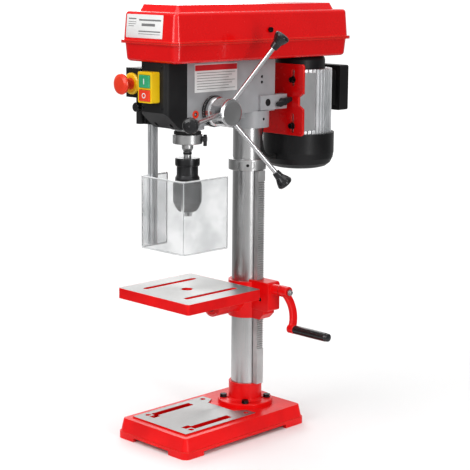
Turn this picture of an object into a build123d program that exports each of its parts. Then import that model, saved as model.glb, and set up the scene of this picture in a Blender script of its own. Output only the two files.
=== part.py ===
"""Bench drill press with a rack-and-crank table, built as separate sub-parts.

Millimetres, +Z up, front of the machine towards -Y, right-hand side towards +X.
The origin is the centre of the base's four bench-bolt holes, on the bench surface.
"""
from build123d import *
from math import acos, cos, degrees, atan, hypot, pi, radians, sin, tan
import os

# ---- driving dimensions -------------------------------------------------------------
COLUMN_R = 30.0            # 60 mm column
COLUMN_Y = 139.0           # column axis behind the origin
THROAT = 168.5             # spindle axis to column axis
SPINDLE_Y = COLUMN_Y - THROAT
BASE_W, BASE_L, BASE_H = 204.0, 344.0, 40.3
BASE_Y = 44.0              # middle of the base casting
LIP_Z = 14.3               # top of the base's lower band
PAD_TOP = 43.3
BENCH_X, BENCH_Y, BENCH_R = 64.0, 77.0, 5.5
COLUMN_TOP = 742.0
RACK_MODULE, RACK_TIP_X, RACK_HALF = 1.5, 43.0, 9.0
RACK_PITCH_X = RACK_TIP_X - 0.8 * RACK_MODULE
GEAR_TEETH = 20
GEAR_R = RACK_MODULE * GEAR_TEETH / 2
GEAR_X, GEAR_Z = RACK_PITCH_X + GEAR_R, 273.0
WORM_R = 8.0
CRANK_Z = GEAR_Z + GEAR_R + WORM_R
CRANK_THROW = 74.0
TABLE_W, TABLE_D, TABLE_TOP, TABLE_SKIRT = 206.0, 198.6, 309.5, 20.9
TABLE_Y = -23.2
TILT_Z, TILT_R, TILT_Y = 264.0, 23.0, 68.0
HEAD_HALF, HEAD_TOP = 37.8, 766.0
HEAD_FRONT, HEAD_REAR = -66.0, 183.0
COVER_FRONT = -121.2       # front face of the black switch cover
QUILL_R, QUILL_BOTTOM, QUILL_TOP = 22.0, 603.2, 745.0
FEED_MODULE, FEED_TEETH, FEED_Z = 1.25, 16, 668.4
FEED_R = FEED_MODULE * FEED_TEETH / 2
QUILL_PITCH = -SPINDLE_Y - FEED_R   # rack pitch plane from the spindle axis
SPOKE_R, SPOKE_REACH, SPOKE_LEAN, SPOKE_PHASE = 4.6, 156.0, 68.0, 62.7
PAN_FLOOR, PAN_TOP, LID_TOP, PANEL_TOP = 766.0, 803.5, 862.0, 875.0
LIP_CORNER = 17.0
COVER_Y, COVER_HALF, COVER_L = 115.4, 83.3, 506.4
HINGE_X, HINGE_Z = -88.0, 804.0
MOTOR_Y, MOTOR_R = 294.3, 69.0
IDLER_Y = 128.0
STEP = 14.0                # height of one pulley step
PULLEY_Z = 784.0
ROD_X, ROD_Z, ROD_R = 33.0, 676.0, 7.0
ESTOP_X, ESTOP_Z = -61.0, 722.0
PIVOT_X, PIVOT_Y, PIVOT_R = -76.0, -85.0, 3.5     # guard swing axis and pin
POST_X, POST_Y, POST_W = -54.8, -72.0, 14.0
KNOB_Z, KNOB_STEM_R = 676.0, 3.5          # clamps the guard post in its holder
GUARD_Z0, GUARD_Z1, GUARD_T = 394.0, 539.0, 3.0
JAW_TILT, JAW_R, JAW_OUT = 16.0, 3.4, 4.1
LEAD_R, LEAD_X, LEAD_Y = 3.4, 3.0, 175.8
WALL = 2.5                 # sheet and moulding thickness of the belt cover


# ---- shape helpers ------------------------------------------------------------------
def box(x0, x1, y0, y1, z0, z1):
    return Pos((x0 + x1) / 2, (y0 + y1) / 2, (z0 + z1) / 2) * Box(x1 - x0, y1 - y0, z1 - z0)


def rod_z(r, z0, z1, x=0.0, y=0.0):
    return Pos(x, y, (z0 + z1) / 2) * Cylinder(r, z1 - z0)


def rod_x(r, x0, x1, y, z):
    return Pos((x0 + x1) / 2, y, z) * Rot(0, 90, 0) * Cylinder(r, x1 - x0)


def rod_y(r, y0, y1, x, z):
    return Pos(x, (y0 + y1) / 2, z) * Rot(90, 0, 0) * Cylinder(r, y1 - y0)


def polygon(points):
    return make_face(Polyline(*points, close=True))


def turned(points):
    """Solid of revolution about Z from (radius, height) points."""
    return revolve(Plane.XZ * polygon(points), Axis.Z)


def turned_z(points, x=0.0, y=0.0):
    return Pos(x, y, 0) * turned(points)


def turned_x(points, y, z):
    """Points are (radius, x)."""
    return Pos(0, y, z) * Rot(0, 90, 0) * turned(points)


def turned_y(points, x, z):
    """Points are (radius, y)."""
    return Pos(x, 0, z) * Rot(-90, 0, 0) * turned(points)


def tub(half_w, length, radius, y, z0, height, taper=0.0):
    """Rounded rectangular block whose sides lean in by taper degrees on the way up."""
    outline = Pos(0, y, z0) * RectangleRounded(2 * half_w, length, radius)
    return extrude(outline, height, taper=taper)


def hexagon(across, z0, z1, x, y):
    outline = Pos(x, y, z0) * RegularPolygon(across / 2, 6, major_radius=False)
    return extrude(outline, z1 - z0)


def involute(angle):
    return tan(angle) - angle


def gear(module, teeth, width, play=0.16):
    """Spur gear on Z from z = 0, with a tooth centred on +X and play off each flank."""
    pitch_r = module * teeth / 2
    base_r = pitch_r * cos(radians(20))
    tip_r = pitch_r + 0.95 * module
    root_r = pitch_r - 1.25 * module
    half = pi / 2 / teeth - play / pitch_r + involute(radians(20))
    start = max(base_r, root_r)
    flank = []
    for step in range(5):
        r = start + (tip_r - start) * step / 4
        flank.append((r, half - involute(acos(base_r / r))))
    points = []
    for tooth in range(teeth):
        centre = 2 * pi * tooth / teeth
        side = [(root_r, half)] + flank if root_r < start else flank
        for r, a in side:
            points.append((r * cos(centre - a), r * sin(centre - a)))
        for r, a in reversed(side):
            points.append((r * cos(centre + a), r * sin(centre + a)))
    return extrude(polygon(points), width)


def rack_edge(module, middle, count, play=0.16):
    """(height out of the pitch line, place along it) points of a rack, gap at middle."""
    pitch = pi * module
    tip, root = 0.8 * module, -1.25 * module
    points = []
    for k in range(-count, count + 1):
        gap = middle + k * pitch
        for height, side in ((tip, -1), (root, -1), (root, 1), (tip, 1)):
            half_gap = pitch / 4 + play + height * tan(radians(20))
            points.append((height, gap + side * half_gap))
    return points


# ---- base and column ----------------------------------------------------------------
def base_casting():
    half_w, half_l = BASE_W / 2, BASE_L / 2
    draft = degrees(atan(6 / (BASE_H - LIP_Z)))
    casting = tub(half_w, BASE_L, 14, BASE_Y, 0, LIP_Z)
    casting += tub(half_w - 2, BASE_L - 4, 13, BASE_Y, LIP_Z, BASE_H - LIP_Z, draft)
    ear_y, ear_x, pad_x, pad_front, notch_y = 91.0, 52.0, 78.5, -105.0, 68.0
    pad = polygon([(-pad_x, pad_front), (pad_x, pad_front), (pad_x, ear_y), (ear_x, ear_y),
                   (38, notch_y), (-38, notch_y), (-ear_x, ear_y), (-pad_x, ear_y)])
    casting += extrude(Pos(0, 0, BASE_H - 1) * pad, PAD_TOP - BASE_H + 1)
    hollow = tub(half_w - 8, BASE_L - 16, 8, BASE_Y, -1, BASE_H - 7, 8)
    for x in (-BENCH_X, BENCH_X):
        for y in (-BENCH_Y, BENCH_Y):
            hollow -= rod_z(12, -1, BASE_H, x, y)
    for angle in (45, 135, 225, 315):
        x, y = 45.5 * cos(radians(angle)), COLUMN_Y + 45.5 * sin(radians(angle))
        hollow -= rod_z(9, 18, BASE_H, x, y)
    casting -= hollow
    front, rear = BASE_Y - half_l, BASE_Y + half_l
    casting -= box(-half_w - 1, -half_w + 12, front + 50, rear - 58, -1, 8)
    casting -= box(half_w - 12, half_w + 1, front + 50, rear - 58, -1, 8)
    casting -= box(-52, 52, front - 1, front + 12, -1, 8)
    casting -= box(-52, 52, rear - 12, rear + 1, -1, 8)
    for x in (-BENCH_X, BENCH_X):
        for y in (-BENCH_Y, BENCH_Y):
            casting -= rod_z(BENCH_R, -1, PAD_TOP + 1, x, y)
    for side in (-1, 1):
        slot = box(49, 65, -68, 36, 25, PAD_TOP + 1) + box(41, 54, -82, -64, 25, PAD_TOP + 1)
        casting -= slot if side > 0 else mirror(slot, Plane.YZ)
    for angle in (45, 135, 225, 315):
        x, y = 45.5 * cos(radians(angle)), COLUMN_Y + 45.5 * sin(radians(angle))
        casting -= rod_z(4.0, 22, BASE_H + 1, x, y)
    return casting


def column_flange():
    z0 = BASE_H
    body = turned_z([(COLUMN_R + 0.02, z0 + 2), (COLUMN_R + 0.02, 87.2), (34.0, 87.2), (34.6, 86.6),
                     (34.6, z0 + 13), (38, z0 + 9.6), (56.4, z0 + 9.6), (57.6, z0 + 8.4),
                     (57.6, z0), (25, z0), (25, z0 + 2)], 0, COLUMN_Y)
    for angle in (45, 135, 225, 315):
        x, y = 45.5 * cos(radians(angle)), COLUMN_Y + 45.5 * sin(radians(angle))
        body -= rod_z(4.4, z0 - 1, z0 + 12, x, y)
    return body


def flange_bolts():
    bolts = []
    top = BASE_H + 9.6
    for angle in (45, 135, 225, 315):
        x, y = 45.5 * cos(radians(angle)), COLUMN_Y + 45.5 * sin(radians(angle))
        bolt = rod_z(3.95, 23, top + 1, x, y) + rod_z(7.4, top, top + 1.4, x, y)
        bolt += hexagon(12.6, top + 1.4, top + 6.6, x, y)
        bolts.append(bolt)
    return bolts


def column_tube():
    tube = rod_z(COLUMN_R, BASE_H + 2, COLUMN_TOP, 0, COLUMN_Y)
    return tube - rod_z(COLUMN_R - 4, BASE_H, COLUMN_TOP + 1, 0, COLUMN_Y)


def column_rack():
    grooves = 37
    middle = GEAR_Z + 14 * pi * RACK_MODULE
    edge = [(RACK_PITCH_X + h, z) for h, z in rack_edge(RACK_MODULE, middle, grooves)]
    inner = COLUMN_R + 0.4
    outline = [(inner, 88.0), (RACK_TIP_X, 88.0)] + edge + [(RACK_TIP_X, 536.8), (inner, 536.8)]
    bar = extrude(Plane.XZ * polygon(outline), RACK_HALF, both=True)
    tongue = box(inner, 33.2, -7, 7, 536, 540.6)
    return Pos(0, COLUMN_Y, 0) * (bar + tongue)


def rack_collar():
    z0, z1 = 537.2, 559.4
    ring = turned_z([(34.6, z0), (38.0, z0), (38.5, z0 + 0.5), (38.5, z1 - 0.5), (38.0, z1),
                     (COLUMN_R + 0.02, z1), (COLUMN_R + 0.02, z0 + 4.4), (34.6, z0 + 4.4)], 0, COLUMN_Y)
    middle = (z0 + z1) / 2
    screw = Pos(0, COLUMN_Y, middle) * Rot(0, 0, -44) * rod_x(3.05, 30, 40, 0, 0)
    ring -= screw
    for angle in (-72, -27):
        ring -= Pos(0, COLUMN_Y, 0) * Rot(0, 0, angle) * box(35.6, 40, -2.6, 2.6, z0 + 5.2, z1 - 4)
    return ring


def socket_screw_x(x0, x1, y, z, r=3.0):
    """Grub screw on X with a hexagon socket in its outer (x1) end."""
    screw = rod_x(r, x0, x1, y, z)
    socket = Pos(x1, y, z) * Rot(0, 90, 0) * extrude(RegularPolygon(1.6, 6), 2.5, both=True)
    return screw - socket


def set_screws():
    collar = Pos(0, COLUMN_Y, 548.3) * Rot(0, 0, -44) * socket_screw_x(30.4, 37.4, 0, 0)
    head = [socket_screw_x(30.4, 36.9, COLUMN_Y + 2, z) for z in (729.0, 717.6)]
    return [collar] + head + [socket_screw_x(30.4, 42.8, COLUMN_Y + 2, 643.0)]


# ---- table and its lift -------------------------------------------------------------
def table_bracket():
    z0, z1 = 229.9, 305.7
    bracket = rod_z(37, z0, z1, 0, COLUMN_Y)
    housing = box(24, 80, COLUMN_Y - 17, COLUMN_Y + 17, 250, 310)
    housing = fillet(housing.edges().filter_by(Axis.Y).sort_by(Axis.X)[-2:], 5)
    lower = box(24, 66, COLUMN_Y - 16, COLUMN_Y + 16, z0, 262)
    lower = chamfer(lower.edges().filter_by(Axis.Y).sort_by(Axis.Z)[0:2].sort_by(Axis.X)[-1], 12)
    bracket += housing + lower
    bracket += rod_x(11, 78, 100, COLUMN_Y, CRANK_Z)
    bracket += rod_y(TILT_R, TILT_Y + 0.3, COLUMN_Y, 0, TILT_Z)
    bracket += box(-14, 14, COLUMN_Y + 30, COLUMN_Y + 54, 242, 294)
    bracket -= rod_z(COLUMN_R + 0.1, z0 - 1, z1 + 5, 0, COLUMN_Y)
    bracket -= box(-1.5, 1.5, COLUMN_Y + 20, COLUMN_Y + 60, z0 - 1, z1 + 1)
    slot = RACK_HALF + 0.35
    bracket -= box(20, RACK_TIP_X + 0.4, COLUMN_Y - slot, COLUMN_Y + slot, z0 - 1, 312)
    bracket -= box(RACK_TIP_X - 1, 75, COLUMN_Y - 8, COLUMN_Y + 8, 254, 292)
    bracket -= rod_x(10.2, RACK_TIP_X - 1, 75, COLUMN_Y, CRANK_Z)
    bracket -= rod_x(6.05, 74, 101, COLUMN_Y, CRANK_Z)
    bracket -= rod_y(4.0, COLUMN_Y - 18, COLUMN_Y + 18, GEAR_X, GEAR_Z)
    bracket -= rod_y(6.05, TILT_Y - 1, COLUMN_Y - 32, 0, TILT_Z)
    bracket -= rod_x(5.1, -16, 16, COLUMN_Y + 44, 268)
    return bracket


def bracket_pins():
    gear_pin = rod_y(3.98, COLUMN_Y - 16.5, COLUMN_Y + 16.5, GEAR_X, GEAR_Z)
    front = TILT_Y - 30.0
    tilt = rod_y(6.0, front - 2, COLUMN_Y - 34, 0, TILT_Z)
    tilt += Pos(0, front - 2, TILT_Z) * Rot(90, 0, 0) * extrude(RegularPolygon(9.5, 6, major_radius=False), 7)
    tilt += rod_y(12.0, front - 2, front - 0.3, 0, TILT_Z)
    return [gear_pin, tilt]


def table_lock_handle():
    y, z = COLUMN_Y + 44, 268.0
    screw = rod_x(5.0, -16, 20, y, z) + rod_x(9.0, -32, -14.2, y, z)
    screw += Pos(20, y, z) * Rot(0, 90, 0) * extrude(RegularPolygon(8, 6, major_radius=False), -5.8)
    arm = Pos(-24, y, z) * Rot(35, 0, 0) * rod_z(4.0, -62, 0)
    ball = Pos(-24, y, z) * Rot(35, 0, 0) * (Pos(0, 0, -64) * Sphere(9.5))
    return screw + arm + ball


def worm_gear():
    wheel = gear(RACK_MODULE, GEAR_TEETH, 14)
    wheel = Pos(GEAR_X, COLUMN_Y + 7, GEAR_Z) * Rot(90, 0, 0) * wheel
    return wheel - rod_y(4.03, COLUMN_Y - 8, COLUMN_Y + 8, GEAR_X, GEAR_Z)


def worm_shaft():
    pitch = pi * RACK_MODULE
    start, turns = GEAR_X - 2.5 * pitch, 4
    path = Helix(pitch, turns * pitch, WORM_R)
    section = Plane(path @ 0, x_dir=(1, 0, 0), z_dir=path % 0)
    tooth = section * polygon([(-2.1, -1.0), (1.4, -0.35), (1.4, 0.35), (-2.1, 1.0)])
    thread = Pos(start, COLUMN_Y, CRANK_Z) * Rot(0, 90, 0) * sweep(tooth, path, is_frenet=True)
    shaft = rod_x(6.15, RACK_TIP_X + 0.5, 74.6, COLUMN_Y, CRANK_Z)
    shaft += thread
    shaft += rod_x(6.0, 74, 100.2, COLUMN_Y, CRANK_Z)
    return shaft + box(100, 124.6, COLUMN_Y - 4, COLUMN_Y + 4, CRANK_Z - 4, CRANK_Z + 4)


def crank_arm():
    y, z, low = COLUMN_Y, CRANK_Z, CRANK_Z - CRANK_THROW
    hub = turned_x([(0, 100.4), (10, 100.4), (11.5, 102), (11.5, 121), (10.5, 122.4), (0, 122.4)], y, z)
    path = ThreePointArc((112, y, z - 4), (124, y + 10, z - 0.52 * CRANK_THROW), (131, y, low))
    section = Plane(path @ 0, x_dir=(1, 0, 0), z_dir=path % 0) * RectangleRounded(10, 17, 4.5)
    arm = sweep(section, path)
    boss = turned_x([(0, 123), (7, 123), (9, 125), (9, 138), (8, 139.6), (0, 139.6)], y, low)
    pin = rod_x(4.0, 139, 229, y, low) + rod_x(6.2, 228, 230.5, y, low)
    crank = hub + arm + boss + pin
    return crank - box(99, 125, y - 4.02, y + 4.02, z - 4.02, z + 4.02)


def crank_grip():
    low = CRANK_Z - CRANK_THROW
    return turned_x([(4.1, 140), (8.2, 140), (8.8, 142), (9.0, 185), (8.8, 223), (7.6, 227.6),
                     (4.1, 227.6)], COLUMN_Y, low)


def table_casting():
    half_w, half_d = TABLE_W / 2, TABLE_D / 2
    bottom = TABLE_TOP - TABLE_SKIRT
    table = tub(half_w, TABLE_D, 5, TABLE_Y, bottom, TABLE_SKIRT)
    table -= tub(half_w - 7, TABLE_D - 14, 6, TABLE_Y, bottom - 1, TABLE_SKIRT - 8)
    table += rod_z(24, bottom + 2, TABLE_TOP - 2, 0, SPINDLE_Y)
    for x in (-30, 30):
        table += box(x - 3, x + 3, TABLE_Y - half_d + 3, TABLE_Y + half_d - 3, bottom + 2, TABLE_TOP - 2)
    table += box(-half_w + 3, half_w - 3, SPINDLE_Y - 3, SPINDLE_Y + 3, bottom + 2, TABLE_TOP - 2)
    lug = rod_y(TILT_R, TILT_Y - 30, TILT_Y, 0, TILT_Z)
    lug += box(-TILT_R, TILT_R, TILT_Y - 30, TILT_Y, TILT_Z, TABLE_TOP - 3)
    table += lug
    table -= rod_y(6.06, TILT_Y - 40, TILT_Y + 1, 0, TILT_Z)
    table -= rod_z(11.5, bottom - 1, TABLE_TOP + 1, 0, SPINDLE_Y)
    front, rear = -85, 44
    for x in (-60, 60):
        table -= box(x - 6, x + 6, front, rear, bottom - 1, TABLE_TOP + 1)
        for y in (front, rear):
            table -= rod_z(6, bottom - 1, TABLE_TOP + 1, x, y)
    return table


# ---- head ---------------------------------------------------------------------------
def head_casting():
    half = HEAD_HALF
    block = box(-half, half, HEAD_FRONT, HEAD_REAR, 658, HEAD_TOP)
    block = fillet(block.edges().filter_by(Axis.Z).sort_by(Axis.Y)[-2:], 6)
    head = block + box(-half, half, HEAD_FRONT, 24, 640, 660)
    head += rod_z(33, 632, 660, 0, SPINDLE_Y) + rod_z(44, 625, 660, 0, COLUMN_Y)
    head += box(-26, 26, 20, 110, 646, 660)
    for side in (-1, 1):
        x0, x1 = sorted((side * 22, side * 44))
        head += box(x0, x1, 131, 209, 661, 691)
    head += rod_x(30, 30, 41, 0, FEED_Z) + rod_x(31, -41, -30, 0, FEED_Z)
    head -= box(-30, 30, 26, 96, 668, HEAD_TOP + 1)
    head -= box(-30, 30, HEAD_FRONT - 1, SPINDLE_Y - 26, 668, HEAD_TOP + 1)
    head -= rod_z(COLUMN_R + 0.02, 624, COLUMN_TOP + 1, 0, COLUMN_Y)
    head -= rod_z(QUILL_R + 0.06, 630, HEAD_TOP + 1, 0, SPINDLE_Y)
    head -= rod_x(8.06, -42, 42, 0, FEED_Z) + rod_x(12.4, -7.5, 7.5, 0, FEED_Z)
    for side in (-1, 1):
        head -= rod_y(ROD_R + 0.06, 160, 210, side * ROD_X, ROD_Z)
    head -= rod_x(4.06, 38, 46, 192, ROD_Z)
    for z in (717.6, 729.0):
        head -= rod_x(3.05, 29, 45, COLUMN_Y + 2, z)
    head -= rod_x(3.05, 29, 45, COLUMN_Y + 2, 643.0)
    head -= rod_x(7.5, 41.5, 46, COLUMN_Y + 14, ROD_Z)
    head -= rod_z(6.05, 748, HEAD_TOP + 1, 16, 176.5)
    head -= rod_z(LEAD_R + 0.3, 624, 641, LEAD_X, LEAD_Y)
    return head


def front_cover():
    z0, slant_z, slant_y = 637.0, 670.0, -84.0
    outer = box(-HEAD_HALF, HEAD_HALF, COVER_FRONT, HEAD_FRONT, z0, HEAD_TOP)
    outer = fillet(outer.edges().filter_by(Axis.Z).sort_by(Axis.Y)[:2], 10)
    wedge = polygon([(COVER_FRONT - 5, slant_z), (COVER_FRONT, slant_z), (slant_y, z0), (slant_y, z0 - 5),
                     (COVER_FRONT - 5, z0 - 5)])
    outer -= extrude(Plane.YZ * wedge, 50, both=True)
    inner = box(-HEAD_HALF + 3, HEAD_HALF - 3, COVER_FRONT + 3, HEAD_FRONT + 1, z0 + 3, HEAD_TOP - 3)
    keep = polygon([(COVER_FRONT - 5, slant_z + 2), (COVER_FRONT + 3, slant_z + 2), (slant_y + 2, z0 + 3),
                    (slant_y + 2, z0 - 5), (COVER_FRONT - 5, z0 - 5)])
    inner -= extrude(Plane.YZ * keep, 50, both=True)
    cover = outer - inner
    for x in (-21, 21):
        cover -= box(x - 3.5, x + 3.5, -96, -88, 636, 652)
    return cover


def switch_housing():
    housing = box(-20, 20, COVER_FRONT - 19.8, COVER_FRONT, 689.5, 749)
    housing = fillet(housing.edges().filter_by(Axis.Y), 3.5)
    housing -= box(-15.5, 15.5, COVER_FRONT - 25, COVER_FRONT - 4, 718.2, 743.2)
    return housing - box(-15.5, 15.5, COVER_FRONT - 25, COVER_FRONT - 4, 692.6, 714.8)


def push_button(z0, z1):
    button = box(-15, 15, COVER_FRONT - 22.6, COVER_FRONT - 9, z0, z1)
    return fillet(button.edges().group_by(Axis.Y)[0], 1.5)


def interlock_box():
    body = box(-82, -HEAD_HALF, -119, -80.2, 695, 752)
    body = fillet(body.edges().filter_by(Axis.Z).sort_by(Axis.X)[:2], 4)
    return body - rod_z(PIVOT_R + 0.05, 694, 712, PIVOT_X, PIVOT_Y)


def estop_base():
    return turned_y([(11.4, -124.4), (18, -124.4), (21, -122.4), (21, -119), (11.4, -119)], ESTOP_X, ESTOP_Z)


def estop_button():
    return turned_y([(0, -153.4), (14, -152.8), (19.4, -150.4), (20.4, -147.6), (19.2, -144.6), (12, -141.5),
                     (10.6, -137), (11.1, -123.6), (0, -123.6)], ESTOP_X, ESTOP_Z)


# ---- guard --------------------------------------------------------------------------
def guard_holder():
    half, wall, z0, z1 = POST_W / 2 + 0.3, 2.0, 640, 692
    outer = half + wall
    socket = box(POST_X - outer, POST_X + outer, POST_Y - outer, POST_Y + outer, z0, z1)
    socket = fillet(socket.edges().filter_by(Axis.Z), 3)
    web = box(PIVOT_X, POST_X - half + 0.5, POST_Y - outer - 2.5, POST_Y + 2, z0, z1)
    holder = rod_z(8.6, z0, z1, PIVOT_X, PIVOT_Y) + socket + web
    holder += rod_z(PIVOT_R, z1 - 2, 711, PIVOT_X, PIVOT_Y)
    holder -= box(POST_X - half, POST_X + half, POST_Y - half, POST_Y + half, z0 - 1, z1 + 1)
    return holder - rod_y(KNOB_STEM_R + 0.05, -90, POST_Y - half + 1, POST_X, KNOB_Z)


def guard_knob():
    end = POST_Y - POST_W / 2 - 0.2
    knob = turned_y([(0, -118), (8, -118), (9.3, -116.5), (9.3, -108), (7, -106), (KNOB_STEM_R, -106),
                     (KNOB_STEM_R, end), (0, end)], POST_X, KNOB_Z)
    for step in range(8):
        angle = radians(45 * step)
        knob -= rod_y(2.2, -120, -105, POST_X + 10.3 * cos(angle), KNOB_Z + 10.3 * sin(angle))
    return knob


def guard_post():
    half = POST_W / 2
    post = box(POST_X - half, POST_X + half, POST_Y - half, POST_Y + half, 400, 690)
    post -= rod_z(2.2, 399, 691, POST_X, POST_Y)
    for angle in (0, 90, 180, 270):
        groove = box(half - 1.4, half + 1, -1.7, 1.7, 399, 691) + box(half - 3.4, half - 1.3, -2.7, 2.7, 399, 691)
        post -= Pos(POST_X, POST_Y, 0) * Rot(0, 0, angle) * groove
    return post


def guard_shield():
    left, right, front = -65.0, 60.0, -96.0
    shield = box(left, right, front, 24, GUARD_Z0, GUARD_Z1)
    shield = fillet(shield.edges().filter_by(Axis.Z).sort_by(Axis.Y)[:2], 6)
    inner = box(left + GUARD_T, right - GUARD_T, front + GUARD_T, 30, GUARD_Z0 - 1, GUARD_Z1 + 1)
    inner = fillet(inner.edges().filter_by(Axis.Z).sort_by(Axis.Y)[:2], 3.2)
    shield -= inner
    shield -= box(left - 1, 0, -26, 30, GUARD_Z0 - 1, GUARD_Z1 + 1)
    shield -= rod_x(2.4, left - 1, left + 5, POST_Y, 430)
    return shield - rod_x(2.4, left - 1, left + 5, POST_Y, 500)


# ---- quill, spindle and chuck -------------------------------------------------------
def quill_sleeve():
    sleeve = rod_z(QUILL_R, QUILL_BOTTOM, QUILL_TOP, 0, SPINDLE_Y)
    sleeve -= rod_z(15.0, QUILL_BOTTOM - 1, QUILL_TOP + 1, 0, SPINDLE_Y)
    pitch = pi * FEED_MODULE
    edge = rack_edge(FEED_MODULE, FEED_Z + 6 * pitch, 10)
    outline = [(SPINDLE_Y + QUILL_PITCH + h, z) for h, z in edge]
    outline += [(0, outline[-1][1]), (0, outline[0][1])]
    return sleeve - extrude(Plane.YZ * polygon(outline), 6.4, both=True)


def quill_collar():
    z0, z1 = QUILL_BOTTOM, 622.4
    ring = turned_z([(QUILL_R, z0), (28.4, z0), (29.35, z0 + 1), (29.35, z1 - 1), (28.4, z1), (QUILL_R, z1)],
                    0, SPINDLE_Y)
    return ring - Pos(0, SPINDLE_Y, 613) * Rot(0, 0, 32) * rod_x(3.05, 20, 34, 0, 0)


def collar_lever():
    lever = rod_x(3.0, 22.6, 32, 0, 0) + rod_x(5.6, 30.2, 39, 0, 0)
    wing = box(33, 38.5, -4.2, 4.2, -14, 9)
    wing = fillet(wing.edges().filter_by(Axis.X), 3.6)
    return Pos(0, SPINDLE_Y, 613) * Rot(0, 0, 32) * (lever + wing)


def spindle_shaft():
    return turned_z([(0, 542), (7.6, 542), (7.7, 586.5), (11.35, 593.7), (11.35, 602.8), (8.5, 602.8),
                     (8.5, 746), (7.6, 748), (7.6, 849), (6.6, 850), (0, 850)], 0, SPINDLE_Y)


def quill_bearings():
    rings = []
    for z in (606.0, 732.0):
        ring = turned_z([(8.54, z), (14.98, z), (14.98, z + 9), (8.54, z + 9)], 0, SPINDLE_Y)
        rings.append(ring)
    return rings


def jaw_axis(index):
    """Place of a jaw: its tip end at the axis, leaning outwards on the way up."""
    place = Pos(0, SPINDLE_Y, 458) * Rot(0, 0, 30 + 120 * index) * Pos(JAW_OUT, 0, 0)
    return place * Rot(0, JAW_TILT, 0)


def chuck_body():
    body = turned_z([(0, 470), (12.6, 470), (23.8, 489), (23.8, 532), (24.2, 532.4), (24.2, 535.4),
                     (21.2, 540.4), (21.2, 559.4), (23.4, 559.4), (24.3, 560.4), (24.3, 573.8),
                     (23.4, 574.9), (0, 574.9)], 0, SPINDLE_Y)
    body -= rod_z(7.72, 541.5, 576, 0, SPINDLE_Y)
    for index in range(3):
        body -= jaw_axis(index) * rod_z(JAW_R + 0.06, 5, 56)
    return body - rod_z(6.6, 469, 480, 0, SPINDLE_Y)


def chuck_sleeve():
    return turned_z([(13.2, 468.7), (17.0, 468.7), (21.8, 474.6), (27.35, 487.2), (27.35, 523.9),
                     (24.6, 528.6), (24.6, 531.6), (24.05, 531.6), (24.05, 488.7)], 0, SPINDLE_Y)


def chuck_jaw(index):
    jaw = jaw_axis(index) * rod_z(JAW_R, -4, 28)
    return jaw - box(-30, 30, SPINDLE_Y - 30, SPINDLE_Y + 30, 440, 458)


# ---- feed ---------------------------------------------------------------------------
def feed_shaft():
    shaft = rod_x(8.0, -62, 84, 0, FEED_Z)
    pinion = Pos(-6, 0, FEED_Z) * Rot(0, 90, 0) * gear(FEED_MODULE, FEED_TEETH, 12)
    return shaft + pinion - box(-63, -44, -0.9, 0.9, FEED_Z - 9, FEED_Z + 9)


def spoke_place(index):
    """Turns a spoke built along +Z from the hub to its own direction."""
    angle = SPOKE_PHASE + 120 * index
    lean = degrees(atan(SPOKE_LEAN / (SPOKE_REACH - 14)))
    return Pos(80, 0, FEED_Z) * Rot(angle - 90, 0, 0) * Pos(0, 0, 14) * Rot(0, lean, 0)


def feed_hub():
    hub = turned_x([(8.02, 41.3), (12.4, 41.3), (12.4, 49.6), (28.6, 49.6), (29.4, 50.6), (29.4, 57), (28.2, 58),
                    (26.4, 60), (26.4, 63), (28.0, 65), (28.0, 91), (27.2, 93.4), (24, 95), (0, 95),
                    (0, 84.4), (8.02, 84.4)], 0, FEED_Z)
    for index in range(3):
        hub -= spoke_place(index) * rod_z(SPOKE_R + 0.02, 0, 30)
    return hub


def feed_spokes():
    length = hypot(SPOKE_LEAN, SPOKE_REACH - 14)
    return [spoke_place(index) * rod_z(SPOKE_R, 0.5, length - 10) for index in range(3)]


def feed_knobs():
    length = hypot(SPOKE_LEAN, SPOKE_REACH - 14)
    profile = [(SPOKE_R + 0.02, -18), (7.4, -18), (8.0, -14), (9.0, -6), (13.4, 3), (15.6, 9), (15.4, 12),
               (13.2, 14.8), (8, 16.4), (0, 17), (0, -9.9), (SPOKE_R + 0.02, -9.9)]
    return [spoke_place(index) * Pos(0, 0, length) * turned(profile) for index in range(3)]


def depth_ring():
    ring = turned_x([(12.5, 41.4), (30.6, 41.4), (31, 42), (31, 48.6), (30.4, 49.2), (12.5, 49.2)], 0, FEED_Z)
    return ring - Pos(45.3, 0, FEED_Z) * Rot(-60, 0, 0) * rod_z(2.6, 24, 33)


def return_spring():
    turns, inner_r, pitch_r, strip = 4, 9.4, 3.8, 0.9
    steps = 12 * turns
    inner, outer = [], []
    for step in range(steps + 1):
        angle = 2 * pi * step / 12
        r = inner_r + pitch_r * step / 12
        inner.append((r * cos(angle), r * sin(angle)))
        outer.append(((r + strip) * cos(angle), (r + strip) * sin(angle)))
    edge = Spline(*inner) + Line(inner[-1], outer[-1]) + Spline(*reversed(outer)) + Line(outer[0], inner[0])
    return Pos(-58, 0, FEED_Z) * Rot(0, 90, 0) * extrude(make_face(edge), 12)


def spring_cap():
    return turned_x([(8.3, -66), (28, -66), (31, -63), (31, -41), (27.4, -41), (27.4, -62), (8.3, -62)],
                    0, FEED_Z)


# ---- pulleys, belts and cover -------------------------------------------------------
SPINDLE_STEPS = (50.0, 42.0, 34.0, 26.0)
IDLER_STEPS = (26.0, 34.0, 42.0, 50.0)
MOTOR_STEPS = (46.0, 38.0, 30.0, 22.0)


def pulley(radii, bore, y):
    """Four-step V-belt pulley; each step has a groove 8 mm deep."""
    points = [(bore, PULLEY_Z)]
    for step, r in enumerate(radii):
        z = PULLEY_Z + step * STEP
        points += [(r, z), (r, z + 2.2), (r - 8, z + 3.4), (r - 8, z + 10.6), (r, z + 11.8), (r, z + STEP)]
    points += [(bore, PULLEY_Z + 4 * STEP)]
    return turned_z(points, 0, y)


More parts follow.
